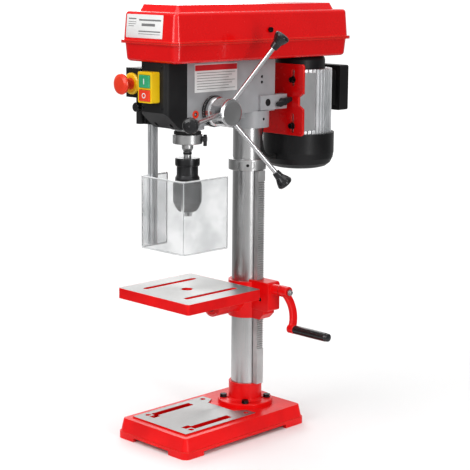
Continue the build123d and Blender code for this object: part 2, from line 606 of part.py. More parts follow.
def spindle_pulley():
    sleeve = turned_z([(8.0, 768), (16.5, 768), (16.5, 780), (14, 780), (14, PULLEY_Z), (8.0, PULLEY_Z)],
                      0, SPINDLE_Y)
    return pulley(SPINDLE_STEPS, 8.0, SPINDLE_Y) + sleeve


def idler_arm():
    arm = box(-9, 9, IDLER_Y, 172, 772, 779) + rod_z(12, 772, 779, 0, IDLER_Y)
    arm += rod_z(12, 772, 779, 16, 176.5) + box(-9, 16, 164, 182, 772, 779)
    arm += rod_z(8.0, 778, 842, 0, IDLER_Y)
    return arm + rod_z(6.0, 752, 773, 16, 176.5)


def belt(y0, r0, y1, r1, step):
    z = PULLEY_Z + step * STEP + 3.6
    loops = []
    for inset in (1.0, 6.6):
        ends = (Pos(0, y0) * Circle(r0 - inset)).edges() + (Pos(0, y1) * Circle(r1 - inset)).edges()
        loops.append(make_hull(ends))
    return Pos(0, 0, z) * extrude(loops[0] - loops[1], 6.6)


def belts():
    front = belt(SPINDLE_Y, SPINDLE_STEPS[1], IDLER_Y, IDLER_STEPS[1], 1)
    return [front, belt(IDLER_Y, IDLER_STEPS[2], MOTOR_Y, MOTOR_STEPS[2], 2)]


def hinge_barrel(y0, y1, bore):
    barrel = rod_y(4.2, y0, y1, HINGE_X, HINGE_Z)
    barrel += box(HINGE_X, -COVER_HALF + 4, y0, y1, HINGE_Z - 3, HINGE_Z)
    return barrel - rod_y(bore, y0 - 1, y1 + 1, HINGE_X, HINGE_Z)


def cover_pan():
    height = PAN_TOP - PAN_FLOOR
    lean = -degrees(atan(4 / height))
    outer = tub(73.5, COVER_L - 19.6, 13, COVER_Y, PAN_FLOOR, height, lean)
    outer = fillet(outer.edges().group_by(Axis.Z)[0], 8)
    inner = tub(73.5 - WALL, COVER_L - 19.6 - 2 * WALL, 10.8, COVER_Y, PAN_FLOOR + WALL, height, lean)
    inner = fillet(inner.edges().group_by(Axis.Z)[0], 6)
    lip = tub(COVER_HALF, COVER_L, LIP_CORNER, COVER_Y, PAN_TOP - WALL, WALL)
    pan = outer + lip - inner
    pan -= rod_z(19, PAN_FLOOR - 1, PAN_FLOOR + 9, 0, SPINDLE_Y)
    pan -= rod_z(7, PAN_FLOOR - 1, PAN_FLOOR + 9, 16, 176.5)
    pan -= box(-15, 15, MOTOR_Y - 15, MOTOR_Y + 32, PAN_FLOOR - 1, PAN_FLOOR + 9)
    for y in (COVER_Y - 150, COVER_Y + 150):
        pan -= rod_y(4.6, y - 13.4, y + 13.4, HINGE_X, HINGE_Z)
        pin = rod_y(2.0, y - 22, y + 22, HINGE_X, HINGE_Z)
        for side in (-1, 1):
            y0, y1 = sorted((y + side * 13.6, y + side * 22))
            pin += rod_y(3.6, y0, y1, HINGE_X, HINGE_Z - 0.6)
            pin += box(HINGE_X, -COVER_HALF + 1.5, y0, y1, HINGE_Z - 3.6, HINGE_Z - 0.6)
        pan += pin
    return pan


def lid():
    z0 = PAN_TOP + 0.4
    lip = tub(COVER_HALF, COVER_L, LIP_CORNER, COVER_Y, z0, 3.2)
    height = LID_TOP - z0
    outer = tub(78.4, COVER_L - 9.8, 14, COVER_Y, z0, height, 4.6)
    outer = fillet(outer.edges().group_by(Axis.Z)[-1], 7)
    inner = tub(78.4 - WALL, COVER_L - 9.8 - 2 * WALL, 11.8, COVER_Y, z0 - 0.1, height - WALL, 4.6)
    inner = fillet(inner.edges().group_by(Axis.Z)[-1], 5)
    panel_l = COVER_L - 54
    rise = PANEL_TOP - LID_TOP
    panel = tub(57, panel_l, 13, COVER_Y, LID_TOP - 1, rise + 1, 30)
    recess = tub(57 - 3, panel_l - 6, 11, COVER_Y, LID_TOP - 4, rise + 4 - WALL, 24)
    shell = lip + outer + panel - inner - recess
    shell -= rod_x(3.2, 60, 90, 121, 825)
    for y in (COVER_Y - 150, COVER_Y + 150):
        shell -= box(-90, -COVER_HALF + 2.2, y - 23, y + 23, z0 - 1, z0 + 4)
        knuckle = rod_y(4.0, y - 13, y + 13, HINGE_X, HINGE_Z) + box(HINGE_X, -77.4, y - 13, y + 13, z0 + 1, z0 + 3.2)
        shell += knuckle - rod_y(2.06, y - 14, y + 14, HINGE_X, HINGE_Z)
    return shell


def lid_screw():
    screw = rod_x(3.1, 71, 79, 121, 825) + rod_x(5.2, 78.2, 82, 121, 825)
    screw += rod_x(5.0, 70.2, 72.2, 121, 825)
    return screw - box(80.8, 83, 115, 127, 824.3, 825.7)


# ---- motor --------------------------------------------------------------------------
def motor_frame():
    z0, z1 = 603.5, 738.3
    ribs, root_r, half_rib = 48, MOTOR_R - 4.5, 1.1
    points = []
    for rib in range(ribs):
        centre = 2 * pi * rib / ribs
        for r, side in ((root_r, -1), (MOTOR_R, -0.7), (MOTOR_R, 0.7), (root_r, 1)):
            angle = centre + side * half_rib / r
            points.append((r * cos(angle), r * sin(angle)))
    body = Pos(0, MOTOR_Y, z0) * extrude(polygon(points), z1 - z0)
    for side in (-1, 1):
        x0, x1 = sorted((side * 40, side * 64))
        body += box(x0, x1, 222.6, MOTOR_Y - 20, 612, 732)
    body -= rod_z(36, z0 - 1, z1 + 1, 0, MOTOR_Y)
    for x, z in plate_bolt_places():
        body -= rod_y(3.3, 222, 240, x, z)
    return body


def motor_end_bells():
    top = turned_z([(9, 738.3), (54, 738.3), (54, 757), (52, 762), (48, 764.2), (9, 764.2)], 0, MOTOR_Y)
    shell = [(40, 603.5), (75.5, 603.5), (75.5, 562), (73.5, 550), (68, 539), (59, 532), (48, 529), (0, 529)]
    hollow = [(0, 532), (47.5, 532), (57.5, 535), (65.6, 541.4), (70.6, 551.4), (72.5, 562), (72.5, 599), (40, 599)]
    bottom = turned_z(shell + hollow, 0, MOTOR_Y)
    for step in range(10):
        slot = Pos(0, MOTOR_Y, 0) * Rot(0, 0, 36 * step) * box(14, 40, -2.2, 2.2, 525, 536)
        bottom -= slot
    bottom -= rod_y(4.3, 212, 226, 0, 555)
    return [top, bottom]


def motor_shaft():
    shaft = rod_z(7.0, 552, PULLEY_Z + 4 * STEP + 2, 0, MOTOR_Y) + rod_z(33, 614, 728, 0, MOTOR_Y)
    shaft += rod_z(24, 560, 566, 0, MOTOR_Y)
    for step in range(8):
        shaft += Pos(0, MOTOR_Y, 0) * Rot(0, 0, 45 * step) * box(10, 62, -1.2, 1.2, 560, 592)
    return shaft


def terminal_box():
    case = box(-45, 45, 374, 403, 646, 742)
    case = fillet(case.edges().filter_by(Axis.Y), 4)
    case = fillet(case.edges().group_by(Axis.Y)[-1], 3)
    neck = box(-32, 32, MOTOR_Y + 60, 376, 656, 732) - rod_z(MOTOR_R + 0.02, 640, 745, 0, MOTOR_Y)
    return case + neck


def plate_bolt_places():
    return [(x, z) for x in (-53, 53) for z in (624.5, 719.7)]


def motor_plate():
    half, neck = 81.0, 68.5
    right = [(half - 4, 604.5), (half, 608.5), (half, 660), (neck, 668), (neck, 684), (half, 692), (half, 748),
             (half - 4, 752)]
    left = [(-x, z) for x, z in reversed(right)]
    plate = Pos(0, 222.5, 0) * extrude(Plane.XZ * polygon(right + left), 5.5)
    for x, z0, z1 in ((-53, 610, 650), (53, 610, 650), (-53, 707, 741), (53, 707, 741)):
        plate -= box(x - 3.6, x + 3.6, 215, 225, z0 + 3.6, z1 - 3.6)
        plate -= rod_y(3.6, 215, 225, x, z0 + 3.6) + rod_y(3.6, 215, 225, x, z1 - 3.6)
    for side in (-1, 1):
        plate -= rod_y(ROD_R, 215, 225, side * ROD_X, ROD_Z)
    return plate


def plate_hardware():
    pieces = []
    for x, z in plate_bolt_places():
        bolt = rod_y(3.25, 214, 238, x, z) + rod_y(7.0, 215.6, 217, x, z) + rod_y(5.6, 209.6, 215.7, x, z)
        socket = Pos(x, 209.6, z) * Rot(90, 0, 0) * extrude(RegularPolygon(3.0, 6), 3, both=True)
        pieces.append(bolt - socket)
    for side in (-1, 1):
        rod = rod_y(ROD_R, 168, 222.6, side * ROD_X, ROD_Z)
        pieces.append(rod)
    return pieces


def motor_wing_screw():
    screw = rod_x(4.0, 40.2, 50, 0, 0) + rod_x(7.5, 44.3, 56, 0, 0)
    wing = box(48, 57, -20, 20, -5, 5)
    wing = fillet(wing.edges().filter_by(Axis.X), 4)
    return Pos(0, 192, ROD_Z) * Rot(17, 0, 0) * (screw + wing)


def motor_lead():
    """Lead from the head's underside to the motor's lower bell."""
    points = [(LEAD_X, LEAD_Y, 640), (LEAD_X, LEAD_Y, 614), (LEAD_X, LEAD_Y + 1, 590), (2, 182, 571),
              (0, 196, 558), (0, 209, 555), (0, 221.5, 555)]
    radii = lead_radii(points)
    path = FilletPolyline(*points, radius=radii)
    section = Plane(path @ 0, z_dir=path % 0) * Circle(LEAD_R)
    print("motor lead: length", round(path.length, 1), "radii", [round(r, 1) for r in radii])
    return sweep(section, path)


def lead_radii(points):
    """The largest arc that each corner's two runs allow."""
    radii = []
    for before, here, after in zip(points, points[1:], points[2:]):
        first, second = Vector(*here) - Vector(*before), Vector(*after) - Vector(*here)
        turn = radians(first.get_angle(second))
        radii.append(0.45 * min(first.length, second.length) / tan(turn / 2))
    return radii


# ---- write the sub-parts ------------------------------------------------------------
SUB_PARTS = {
    "base_casting": base_casting, "column_flange": column_flange, "flange_bolts": flange_bolts,
    "column_tube": column_tube, "column_rack": column_rack, "rack_collar": rack_collar,
    "set_screws": set_screws, "table_bracket": table_bracket, "bracket_pins": bracket_pins,
    "table_lock_handle": table_lock_handle, "worm_gear": worm_gear, "worm_shaft": worm_shaft,
    "crank_arm": crank_arm, "crank_grip": crank_grip, "table_casting": table_casting,
    "head_casting": head_casting, "front_cover": front_cover, "switch_housing": switch_housing,
    "start_button": lambda: push_button(718.6, 742.8), "stop_button": lambda: push_button(693.0, 714.4),
    "interlock_box": interlock_box, "estop_base": estop_base, "estop_button": estop_button,
    "guard_holder": guard_holder, "guard_knob": guard_knob, "guard_post": guard_post,
    "guard_shield": guard_shield, "quill_sleeve": quill_sleeve, "quill_collar": quill_collar,
    "collar_lever": collar_lever, "spindle_shaft": spindle_shaft, "quill_bearings": quill_bearings,
    "chuck_body": chuck_body, "chuck_sleeve": chuck_sleeve, "chuck_jaw_1": lambda: chuck_jaw(0),
    "chuck_jaw_2": lambda: chuck_jaw(1), "chuck_jaw_3": lambda: chuck_jaw(2),
    "feed_shaft": feed_shaft, "feed_hub": feed_hub, "feed_spokes": feed_spokes,
    "feed_knobs": feed_knobs, "depth_ring": depth_ring, "return_spring": return_spring,
    "spring_cap": spring_cap, "spindle_pulley": spindle_pulley, "idler_arm": idler_arm,
    "idler_pulley": lambda: pulley(IDLER_STEPS, 8.06, IDLER_Y),
    "motor_pulley": lambda: pulley(MOTOR_STEPS, 7.02, MOTOR_Y), "belts": belts,
    "cover_pan": cover_pan, "lid": lid, "lid_screw": lid_screw, "motor_frame": motor_frame,
    "motor_end_bells": motor_end_bells, "motor_shaft": motor_shaft, "terminal_box": terminal_box,
    "motor_plate": motor_plate, "plate_hardware": plate_hardware,
    "motor_wing_screw": motor_wing_screw, "motor_lead": motor_lead,
}


def main():
    os.makedirs("parts", exist_ok=True)
    for node, make in SUB_PARTS.items():
        shape = make()
        solids = [solid for piece in shape for solid in piece.solids()] if isinstance(shape, list) \
            else list(shape.solids())
        export_step(Compound(children=solids) if len(solids) > 1 else solids[0], f"parts/{node}.step")
        print(node, len(solids))


main()
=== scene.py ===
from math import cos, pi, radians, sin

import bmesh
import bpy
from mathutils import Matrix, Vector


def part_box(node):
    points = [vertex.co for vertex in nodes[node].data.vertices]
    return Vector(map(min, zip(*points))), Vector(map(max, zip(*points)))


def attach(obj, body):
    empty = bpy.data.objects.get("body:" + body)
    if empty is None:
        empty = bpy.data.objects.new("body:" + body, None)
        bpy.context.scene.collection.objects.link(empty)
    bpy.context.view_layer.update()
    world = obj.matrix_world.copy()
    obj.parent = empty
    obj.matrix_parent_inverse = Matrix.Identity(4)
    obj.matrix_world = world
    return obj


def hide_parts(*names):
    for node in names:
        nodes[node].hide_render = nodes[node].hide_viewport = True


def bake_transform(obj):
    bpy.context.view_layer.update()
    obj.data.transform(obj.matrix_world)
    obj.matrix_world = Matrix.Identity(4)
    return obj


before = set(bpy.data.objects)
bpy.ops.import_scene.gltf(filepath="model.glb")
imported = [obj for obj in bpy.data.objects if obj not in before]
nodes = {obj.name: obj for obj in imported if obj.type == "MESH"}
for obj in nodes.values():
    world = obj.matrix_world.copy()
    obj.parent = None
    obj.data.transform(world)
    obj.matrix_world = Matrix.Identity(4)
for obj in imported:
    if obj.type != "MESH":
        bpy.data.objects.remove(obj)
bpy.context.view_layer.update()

# %% [markdown]
# A bench drill press, finished around its CAD parts.
# The machine is already there as closed CAD solids, one for each casting, shaft, screw and button.
# What it still lacks is what a paint shop and an assembler give it: enamel, ground steel, moulded
# plastic, a clear guard, screws, knurls, scales, plates and a lead. This lesson makes those.

MM = 0.001

# %% [markdown]
# The camera stands a little above the switch, in front and to the right, with a long lens.
# Its tilt is small, so that the column stays nearly upright, as in a catalogue picture.

# %% The camera
CAMERA_AT = Vector((2.0119, -1.9129, 0.9467))
CAMERA_AZIMUTH, CAMERA_PITCH, CAMERA_ROLL = radians(44.346), radians(9.189), radians(0.569)
SENSOR, FRAME_SIDE, FOCAL = 36.0, 470, 1407.9
LENS_SHIFT = (-0.03, -0.085)


def make_camera():
    data = bpy.data.cameras.new("camera")
    data.sensor_width = SENSOR
    data.lens = FOCAL * SENSOR / FRAME_SIDE
    data.shift_x, data.shift_y = LENS_SHIFT
    camera = bpy.data.objects.new("camera", data)
    bpy.context.scene.collection.objects.link(camera)
    across = Vector((cos(CAMERA_AZIMUTH), sin(CAMERA_AZIMUTH), 0))
    ahead = Vector((-sin(CAMERA_AZIMUTH) * cos(CAMERA_PITCH), cos(CAMERA_AZIMUTH) * cos(CAMERA_PITCH),
                    -sin(CAMERA_PITCH)))
    above = across.cross(ahead)
    right = across * cos(CAMERA_ROLL) + above * sin(CAMERA_ROLL)
    up = above * cos(CAMERA_ROLL) - across * sin(CAMERA_ROLL)
    turn = Matrix((right, up, -ahead)).transposed().to_4x4()
    camera.matrix_world = Matrix.Translation(CAMERA_AT) @ turn
    bpy.context.scene.camera = camera
    return across, ahead


ACROSS, AHEAD = make_camera()
print("camera", [round(v, 2) for v in CAMERA_AT], "lens", round(bpy.data.cameras["camera"].lens, 1))

# %% [markdown]
# The motor lead runs from the head's underside to the motor's lower bell. It is a rubber-sheathed
# cable held at both ends, so it bows a little and goes with the motor when the belts are tensioned.
# A spline through the route that the design gives makes a smooth line, and a tube is swept along it.

# %% The motor lead's route and tube
LEAD_ROUTE = [(3, 175.8, 640), (3, 175.8, 614), (3, 176.8, 590), (2, 182, 571), (0, 196, 558), (0, 209, 555),
              (0, 221.5, 555)]
LEAD_R = 3.4 * MM
SHARP_FROM = radians(35)


def spline_points(route, step=24):
    """Points along a smooth spline whose control points are the route, in metres."""
    curve = bpy.data.curves.new("route", "CURVE")
    curve.dimensions = "3D"
    curve.resolution_u = step
    spline = curve.splines.new("NURBS")
    spline.points.add(len(route) - 1)
    for point, place in zip(spline.points, route):
        point.co = (*(v * MM for v in place), 1)
    spline.order_u = 3
    spline.use_endpoint_u = True
    holder = bpy.data.objects.new("route", curve)
    bpy.context.scene.collection.objects.link(holder)
    line = bpy.data.meshes.new_from_object(holder)
    points = [vertex.co.copy() for vertex in line.vertices]
    bpy.data.objects.remove(holder)
    bpy.data.meshes.remove(line)
    return points


def tube_mesh(name, points, radius, sides=20):
    """A tube of constant radius along points that bend in one plane or nearly so."""
    bm = bmesh.new()
    rings = []
    for i, point in enumerate(points):
        ahead = (points[min(i + 1, len(points) - 1)] - points[max(i - 1, 0)]).normalized()
        side = ahead.cross(Vector((1, 0, 0))).normalized()
        other = ahead.cross(side)
        turns = [2 * pi * k / sides for k in range(sides)]
        rings.append([bm.verts.new(point + radius * (side * cos(t) + other * sin(t))) for t in turns])
    for first, second in zip(rings, rings[1:]):
        for k in range(sides):
            bm.faces.new((first[k], first[(k + 1) % sides], second[(k + 1) % sides], second[k]))
    bm.faces.new(rings[0][::-1])
    bm.faces.new(rings[-1])
    return mesh_object(name, bm)


def mesh_object(name, bm, smooth=True):
    """Turns a bmesh into a linked object with clean normals."""
    bmesh.ops.recalc_face_normals(bm, faces=bm.faces)
    mesh = bpy.data.meshes.new(name)
    bm.to_mesh(mesh)
    bm.free()
    piece = bpy.data.objects.new(name, mesh)
    bpy.context.scene.collection.objects.link(piece)
    if smooth:
        mesh.shade_smooth()
        mesh.set_sharp_from_angle(angle=SHARP_FROM)
    return piece


lead_line = spline_points(LEAD_ROUTE)
motor_lead = tube_mesh("lead_tube", lead_line, LEAD_R)
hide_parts("motor_lead")
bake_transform(motor_lead)

# %% [markdown]
# The floor is a plain pale disc that fades out at its rim, so no edge shows from any side.
# The world is brighter for the lens, and through the clear guard, than in reflections: polished steel
# needs something dark to reflect, or it looks like white plaster. The dark stands at the two sides,
# which gives the round column its dark flanks.
# Four soft boxes light the machine: one large from the left, one overhead, a tall strip that
# draws the bright line down the column, and one behind for the rims.

# %% Floor, world and lights
LOOK_AT = Vector((0.0, 0.07, 0.45))
FLOOR_RADIUS, FLOOR_SOLID = 1.6, 0.3
PAPER_TONE, BACKDROP = 0.93, 0.93
GLOW_LOW, GLOW_HIGH = 0.42, 0.80
WING_DARK, WING_BRIGHT = 0.38, 1.30


def link_value(tree, node, socket, value):
    """Links an output to a socket, or sets the socket to a plain value."""
    if isinstance(value, bpy.types.NodeSocket):
        tree.links.new(value, node.inputs[socket])
    else:
        node.inputs[socket].default_value = value


def add_node(tree, kind, out=0, **sockets):
    """Places a node; keywords are node settings, or sockets written as s_Name or i_number."""
    node = tree.nodes.new(kind)
    for key, value in sockets.items():
        if key.startswith("s_"):
            link_value(tree, node, key[2:].replace("_", " "), value)
        elif key.startswith("i_"):
            link_value(tree, node, int(key[2:]), value)
        else:
            setattr(node, key, value)
    return node.outputs[out]


def calc(tree, operation, *values, clamp=False):
    node = tree.nodes.new("ShaderNodeMath")
    node.operation, node.use_clamp = operation, clamp
    for i, value in enumerate(values):
        link_value(tree, node, i, value)
    return node.outputs[0]


def mix_colour(tree, factor, first, second):
    node = tree.nodes.new("ShaderNodeMix")
    node.data_type = "RGBA"
    link_value(tree, node, 0, factor)
    link_value(tree, node, 6, first)
    link_value(tree, node, 7, second)
    return node.outputs[2]


def mix_value(tree, factor, first, second):
    node = tree.nodes.new("ShaderNodeMix")
    link_value(tree, node, 0, factor)
    link_value(tree, node, 2, first)
    link_value(tree, node, 3, second)
    return node.outputs[0]


def new_material(name):
    mat = bpy.data.materials.new(name)
    mat.use_nodes = True
    return mat, mat.node_tree, mat.node_tree.nodes["Principled BSDF"]


def make_floor():
    bm = bmesh.new()
    bmesh.ops.create_circle(bm, cap_ends=True, segments=96, radius=FLOOR_RADIUS)
    floor = mesh_object("studio_floor", bm, smooth=False)
    mat, tree, shader = new_material("studio_paper")
    place = add_node(tree, "ShaderNodeTexCoord", out=3)
    reach = add_node(tree, "ShaderNodeVectorMath", out=1, operation="LENGTH", i_0=place)
    fade = add_node(tree, "ShaderNodeMapRange", i_0=reach, i_1=FLOOR_SOLID, i_2=FLOOR_RADIUS, i_3=1.0,
                    i_4=0.0)
    shader.inputs["Base Color"].default_value = (PAPER_TONE, PAPER_TONE, PAPER_TONE, 1)
    shader.inputs["Roughness"].default_value = 0.7
    link_value(tree, shader, "Alpha", fade)
    floor.data.materials.append(mat)


def make_world():
    world = bpy.data.worlds.new("studio")
    bpy.context.scene.world = world
    world.use_nodes = True
    tree = world.node_tree
    sky = tree.nodes["Background"]
    paths = tree.nodes.new("ShaderNodeLightPath").outputs
    seen = calc(tree, "MAXIMUM", paths["Is Camera Ray"], paths["Is Transmission Ray"])
    way = add_node(tree, "ShaderNodeTexCoord", out=0)
    height = add_node(tree, "ShaderNodeSeparateXYZ", out=2, i_0=way)
    glow = add_node(tree, "ShaderNodeMapRange", i_0=height, i_1=-0.3, i_2=1.0, i_3=GLOW_LOW,
                    i_4=GLOW_HIGH)
    facing = add_node(tree, "ShaderNodeVectorMath", out=1, operation="DOT_PRODUCT", i_0=way,
                      i_1=(AHEAD.x, AHEAD.y, 0))
    squared = calc(tree, "MULTIPLY", facing, facing)
    wings = add_node(tree, "ShaderNodeMapRange", i_0=squared, i_3=WING_DARK, i_4=WING_BRIGHT)
    glow = calc(tree, "MULTIPLY", glow, wings)
    sky.inputs["Color"].default_value = (1, 1, 1, 1)
    link_value(tree, sky, "Strength", mix_value(tree, seen, glow, BACKDROP))


def soft_box(name, place, width, height, power):
    light = bpy.data.lights.new(name, "AREA")
    light.shape, light.size, light.size_y, light.energy = "RECTANGLE", width, height, power
    lamp = bpy.data.objects.new(name, light)
    bpy.context.scene.collection.objects.link(lamp)
    lamp.location = place
    lamp.rotation_euler = (LOOK_AT - place).to_track_quat("-Z", "Y").to_euler()


def light_studio():
    level = Vector((AHEAD.x, AHEAD.y, 0)).normalized()
    up = Vector((0, 0, 1))
    soft_box("key", LOOK_AT - ACROSS * 1.7 - level * 1.5 + up * 1.2, 1.3, 1.6, 22)
    soft_box("strip", LOOK_AT + ACROSS * 1.5 - level * 1.9 + up * 0.5, 0.35, 2.0, 15)
    soft_box("overhead", LOOK_AT - level * 0.3 + up * 2.2, 2.2, 2.2, 22)
    soft_box("behind", LOOK_AT + level * 1.9 - ACROSS * 0.6 + up * 1.0, 1.6, 1.2, 14)


make_floor()
make_world()
light_studio()
bpy.context.scene.view_settings.view_transform = "Standard"
bpy.context.scene.view_settings.look = "Medium High Contrast"

# %% [markdown]
# Nothing on a real machine has one even colour. Enamel runs a shade deeper where it lies thick, steel carries
# the lines of the tool that cut it, and every edge is a little worn or rounded. The same edge mask also lays
# painted highlights along edges.
# Each of these effects serves many finishes, so each is a node group with named inputs, made once.


# %% A helper for node groups
def new_group(name, inputs, outputs):
    """A shader node group with sockets from {name: (kind, default)} and {name: kind}."""
    group = bpy.data.node_groups.new(name, "ShaderNodeTree")
    for socket, (kind, default) in inputs.items():
        made = group.interface.new_socket(socket, in_out="INPUT", socket_type=kind)
        made.default_value = default
    for socket, kind in outputs.items():
        group.interface.new_socket(socket, in_out="OUTPUT", socket_type=kind)
    return group, group.nodes.new("NodeGroupInput"), group.nodes.new("NodeGroupOutput")


FLOAT, VECTOR = "NodeSocketFloat", "NodeSocketVector"

# %% [markdown]
# Edge wear and painted edge highlights: a Bevel node gives the normal that a rounded edge would have. Where
# it differs from the face's own normal there is an edge, and that difference is the mask for rubbed paint. On
# the red enamel and the clear guard the same mask lays a painted highlight along the edges, and with a Patch
# Scale of 0 it runs even along the whole edge.
# The same normal also rounds the edge in the light, so castings stop looking like cut paper.


# %% Edge wear and painted highlight group
def edge_wear_and_highlight_group():
    group, given, result = new_group(
        "edge wear and painted highlight", {"Radius": (FLOAT, 0.0008), "Gain": (FLOAT, 3.0), "Patch Scale": (FLOAT, 90.0)},
        {"Edge": FLOAT, "Normal": VECTOR})
    rounded = add_node(group, "ShaderNodeBevel", samples=6, s_Radius=given.outputs["Radius"])
    flat = add_node(group, "ShaderNodeNewGeometry", out=1)
    same = add_node(group, "ShaderNodeVectorMath", out=1, operation="DOT_PRODUCT", i_0=rounded, i_1=flat)
    bend = calc(group, "MULTIPLY", calc(group, "SUBTRACT", 1.0, same), given.outputs["Gain"], clamp=True)
    place = add_node(group, "ShaderNodeTexCoord", out=3)
    patch = add_node(group, "ShaderNodeTexNoise", s_Vector=place, s_Scale=given.outputs["Patch Scale"],
                     s_Detail=4.0)
    broken = add_node(group, "ShaderNodeMapRange", i_0=patch, i_1=0.45, i_2=0.62)
    link_value(group, result, "Edge", calc(group, "MULTIPLY", bend, broken))
    link_value(group, result, "Normal", rounded)
    return group


# %% [markdown]
# Grain: stretched noise. A large number on one axis makes lines that cross that axis. Turned
# parts get fine rings along their axle, ground plates long scratches, cast iron gets round lumps.


# %% Grain group
def grain_group():
    group, given, result = new_group(
        "grain", {"Stretch": (VECTOR, (400, 400, 400)), "Detail": (FLOAT, 5.0), "Low": (FLOAT, 0.3),
                  "High": (FLOAT, 0.7)}, {"Value": FLOAT})
    place = add_node(group, "ShaderNodeTexCoord", out=3)
    drawn = add_node(group, "ShaderNodeVectorMath", operation="MULTIPLY", i_0=place,
                     i_1=given.outputs["Stretch"])
    lines = add_node(group, "ShaderNodeTexNoise", s_Vector=drawn, s_Scale=1.0,
                     s_Detail=given.outputs["Detail"])
    spread = add_node(group, "ShaderNodeMapRange", i_0=lines, i_1=given.outputs["Low"],
                      i_2=given.outputs["High"])
    link_value(group, result, "Value", spread)
    return group


# %% [markdown]
# Rings: a table is faced on a lathe, so its scratches are circles round the spindle. The distance
# from that centre, fed to a one-dimensional noise, draws them.


# %% Facing rings group
def rings_group():
    group, given, result = new_group(
        "facing rings", {"Centre": (VECTOR, (0, 0, 0)), "Fineness": (FLOAT, 900.0)}, {"Value": FLOAT})
    place = add_node(group, "ShaderNodeTexCoord", out=3)
    away = add_node(group, "ShaderNodeVectorMath", operation="SUBTRACT", i_0=place,
                    i_1=given.outputs["Centre"])
    level = add_node(group, "ShaderNodeVectorMath", operation="MULTIPLY", i_0=away, i_1=(1, 1, 0))
    reach = add_node(group, "ShaderNodeVectorMath", out=1, operation="LENGTH", i_0=level)
    rings = add_node(group, "ShaderNodeTexNoise", noise_dimensions="1D", s_W=reach,
                     s_Scale=given.outputs["Fineness"], s_Detail=4.0)
    link_value(group, result, "Value", rings)
    return group


# %% [markdown]
# Ground face: the table and the base's pad are painted with the rest of the casting and then
# machined, which leaves bare iron on the top and paint on the sides and in the slots. The mask
# is 1 above a height, within a given distance of the middle. Dust is the other group here: it lies
# in patches on whatever faces up.


# %% Ground face and dust groups
def ground_face_group():
    group, given, result = new_group(
        "ground face", {"Height": (FLOAT, 0.3), "Middle": (VECTOR, (0, 0, 0)), "Half": (VECTOR, (1, 1, 1))},
        {"Mask": FLOAT})
    place = add_node(group, "ShaderNodeTexCoord", out=3)
    lift = add_node(group, "ShaderNodeSeparateXYZ", out=2, i_0=place)
    mask = calc(group, "GREATER_THAN", lift, given.outputs["Height"])
    away = add_node(group, "ShaderNodeVectorMath", operation="SUBTRACT", i_0=place,
                    i_1=given.outputs["Middle"])
    away = add_node(group, "ShaderNodeVectorMath", operation="ABSOLUTE", i_0=away)
    room = add_node(group, "ShaderNodeVectorMath", operation="SUBTRACT", i_0=given.outputs["Half"], i_1=away)
    for axis in (0, 1):
        side = add_node(group, "ShaderNodeSeparateXYZ", out=axis, i_0=room)
        mask = calc(group, "MULTIPLY", mask, calc(group, "GREATER_THAN", side, 0.0))
    link_value(group, result, "Mask", mask)
    return group


def settled_dust_group():
    group, given, result = new_group("settled dust", {"Amount": (FLOAT, 0.1), "Scale": (FLOAT, 30.0)},
                                     {"Mask": FLOAT})
    facing = add_node(group, "ShaderNodeNewGeometry", out=1)
    upward = add_node(group, "ShaderNodeSeparateXYZ", out=2, i_0=facing)
    top = add_node(group, "ShaderNodeMapRange", i_0=upward, i_1=0.5, i_2=1.0)
    place = add_node(group, "ShaderNodeTexCoord", out=3)
    cloud = add_node(group, "ShaderNodeTexNoise", s_Vector=place, s_Scale=given.outputs["Scale"],
                     s_Detail=6.0)
    patchy = calc(group, "MULTIPLY", top, cloud)
    link_value(group, result, "Mask", calc(group, "MULTIPLY", patchy, given.outputs["Amount"], clamp=True))
    return group


EDGE_WEAR_AND_HIGHLIGHT, GRAIN, RINGS = edge_wear_and_highlight_group(), grain_group(), rings_group()
GROUND_FACE, SETTLED_DUST = ground_face_group(), settled_dust_group()
print("node groups", [g.name for g in bpy.data.node_groups])

# %% [markdown]
# A finish is then a short recipe: two tones mixed by slow noise, a roughness that follows the
# grain, a little height for the bump, an edge colour and some dust. The shader itself stays in
# each material, and what is the same all over is set straight on its sockets.


# %% The recipe for a finish
DUST = (0.45, 0.43, 0.40)


def use_group(tree, group, out, **values):
    node = tree.nodes.new("ShaderNodeGroup")
    node.node_tree = group
    for key, value in values.items():
        link_value(tree, node, key.replace("_", " "), value)
    return node.outputs[out]


def edge_wear_and_highlight_outputs(tree, radius, gain, patch=90.0):
    """The edge group's outputs, for a rounding radius in mm."""
    node = tree.nodes.new("ShaderNodeGroup")
    node.node_tree = EDGE_WEAR_AND_HIGHLIGHT
    node.inputs["Radius"].default_value = radius * MM
    node.inputs["Gain"].default_value = gain
    node.inputs["Patch Scale"].default_value = patch
    return node.outputs


def tone(colour):
    return (*colour, 1.0)


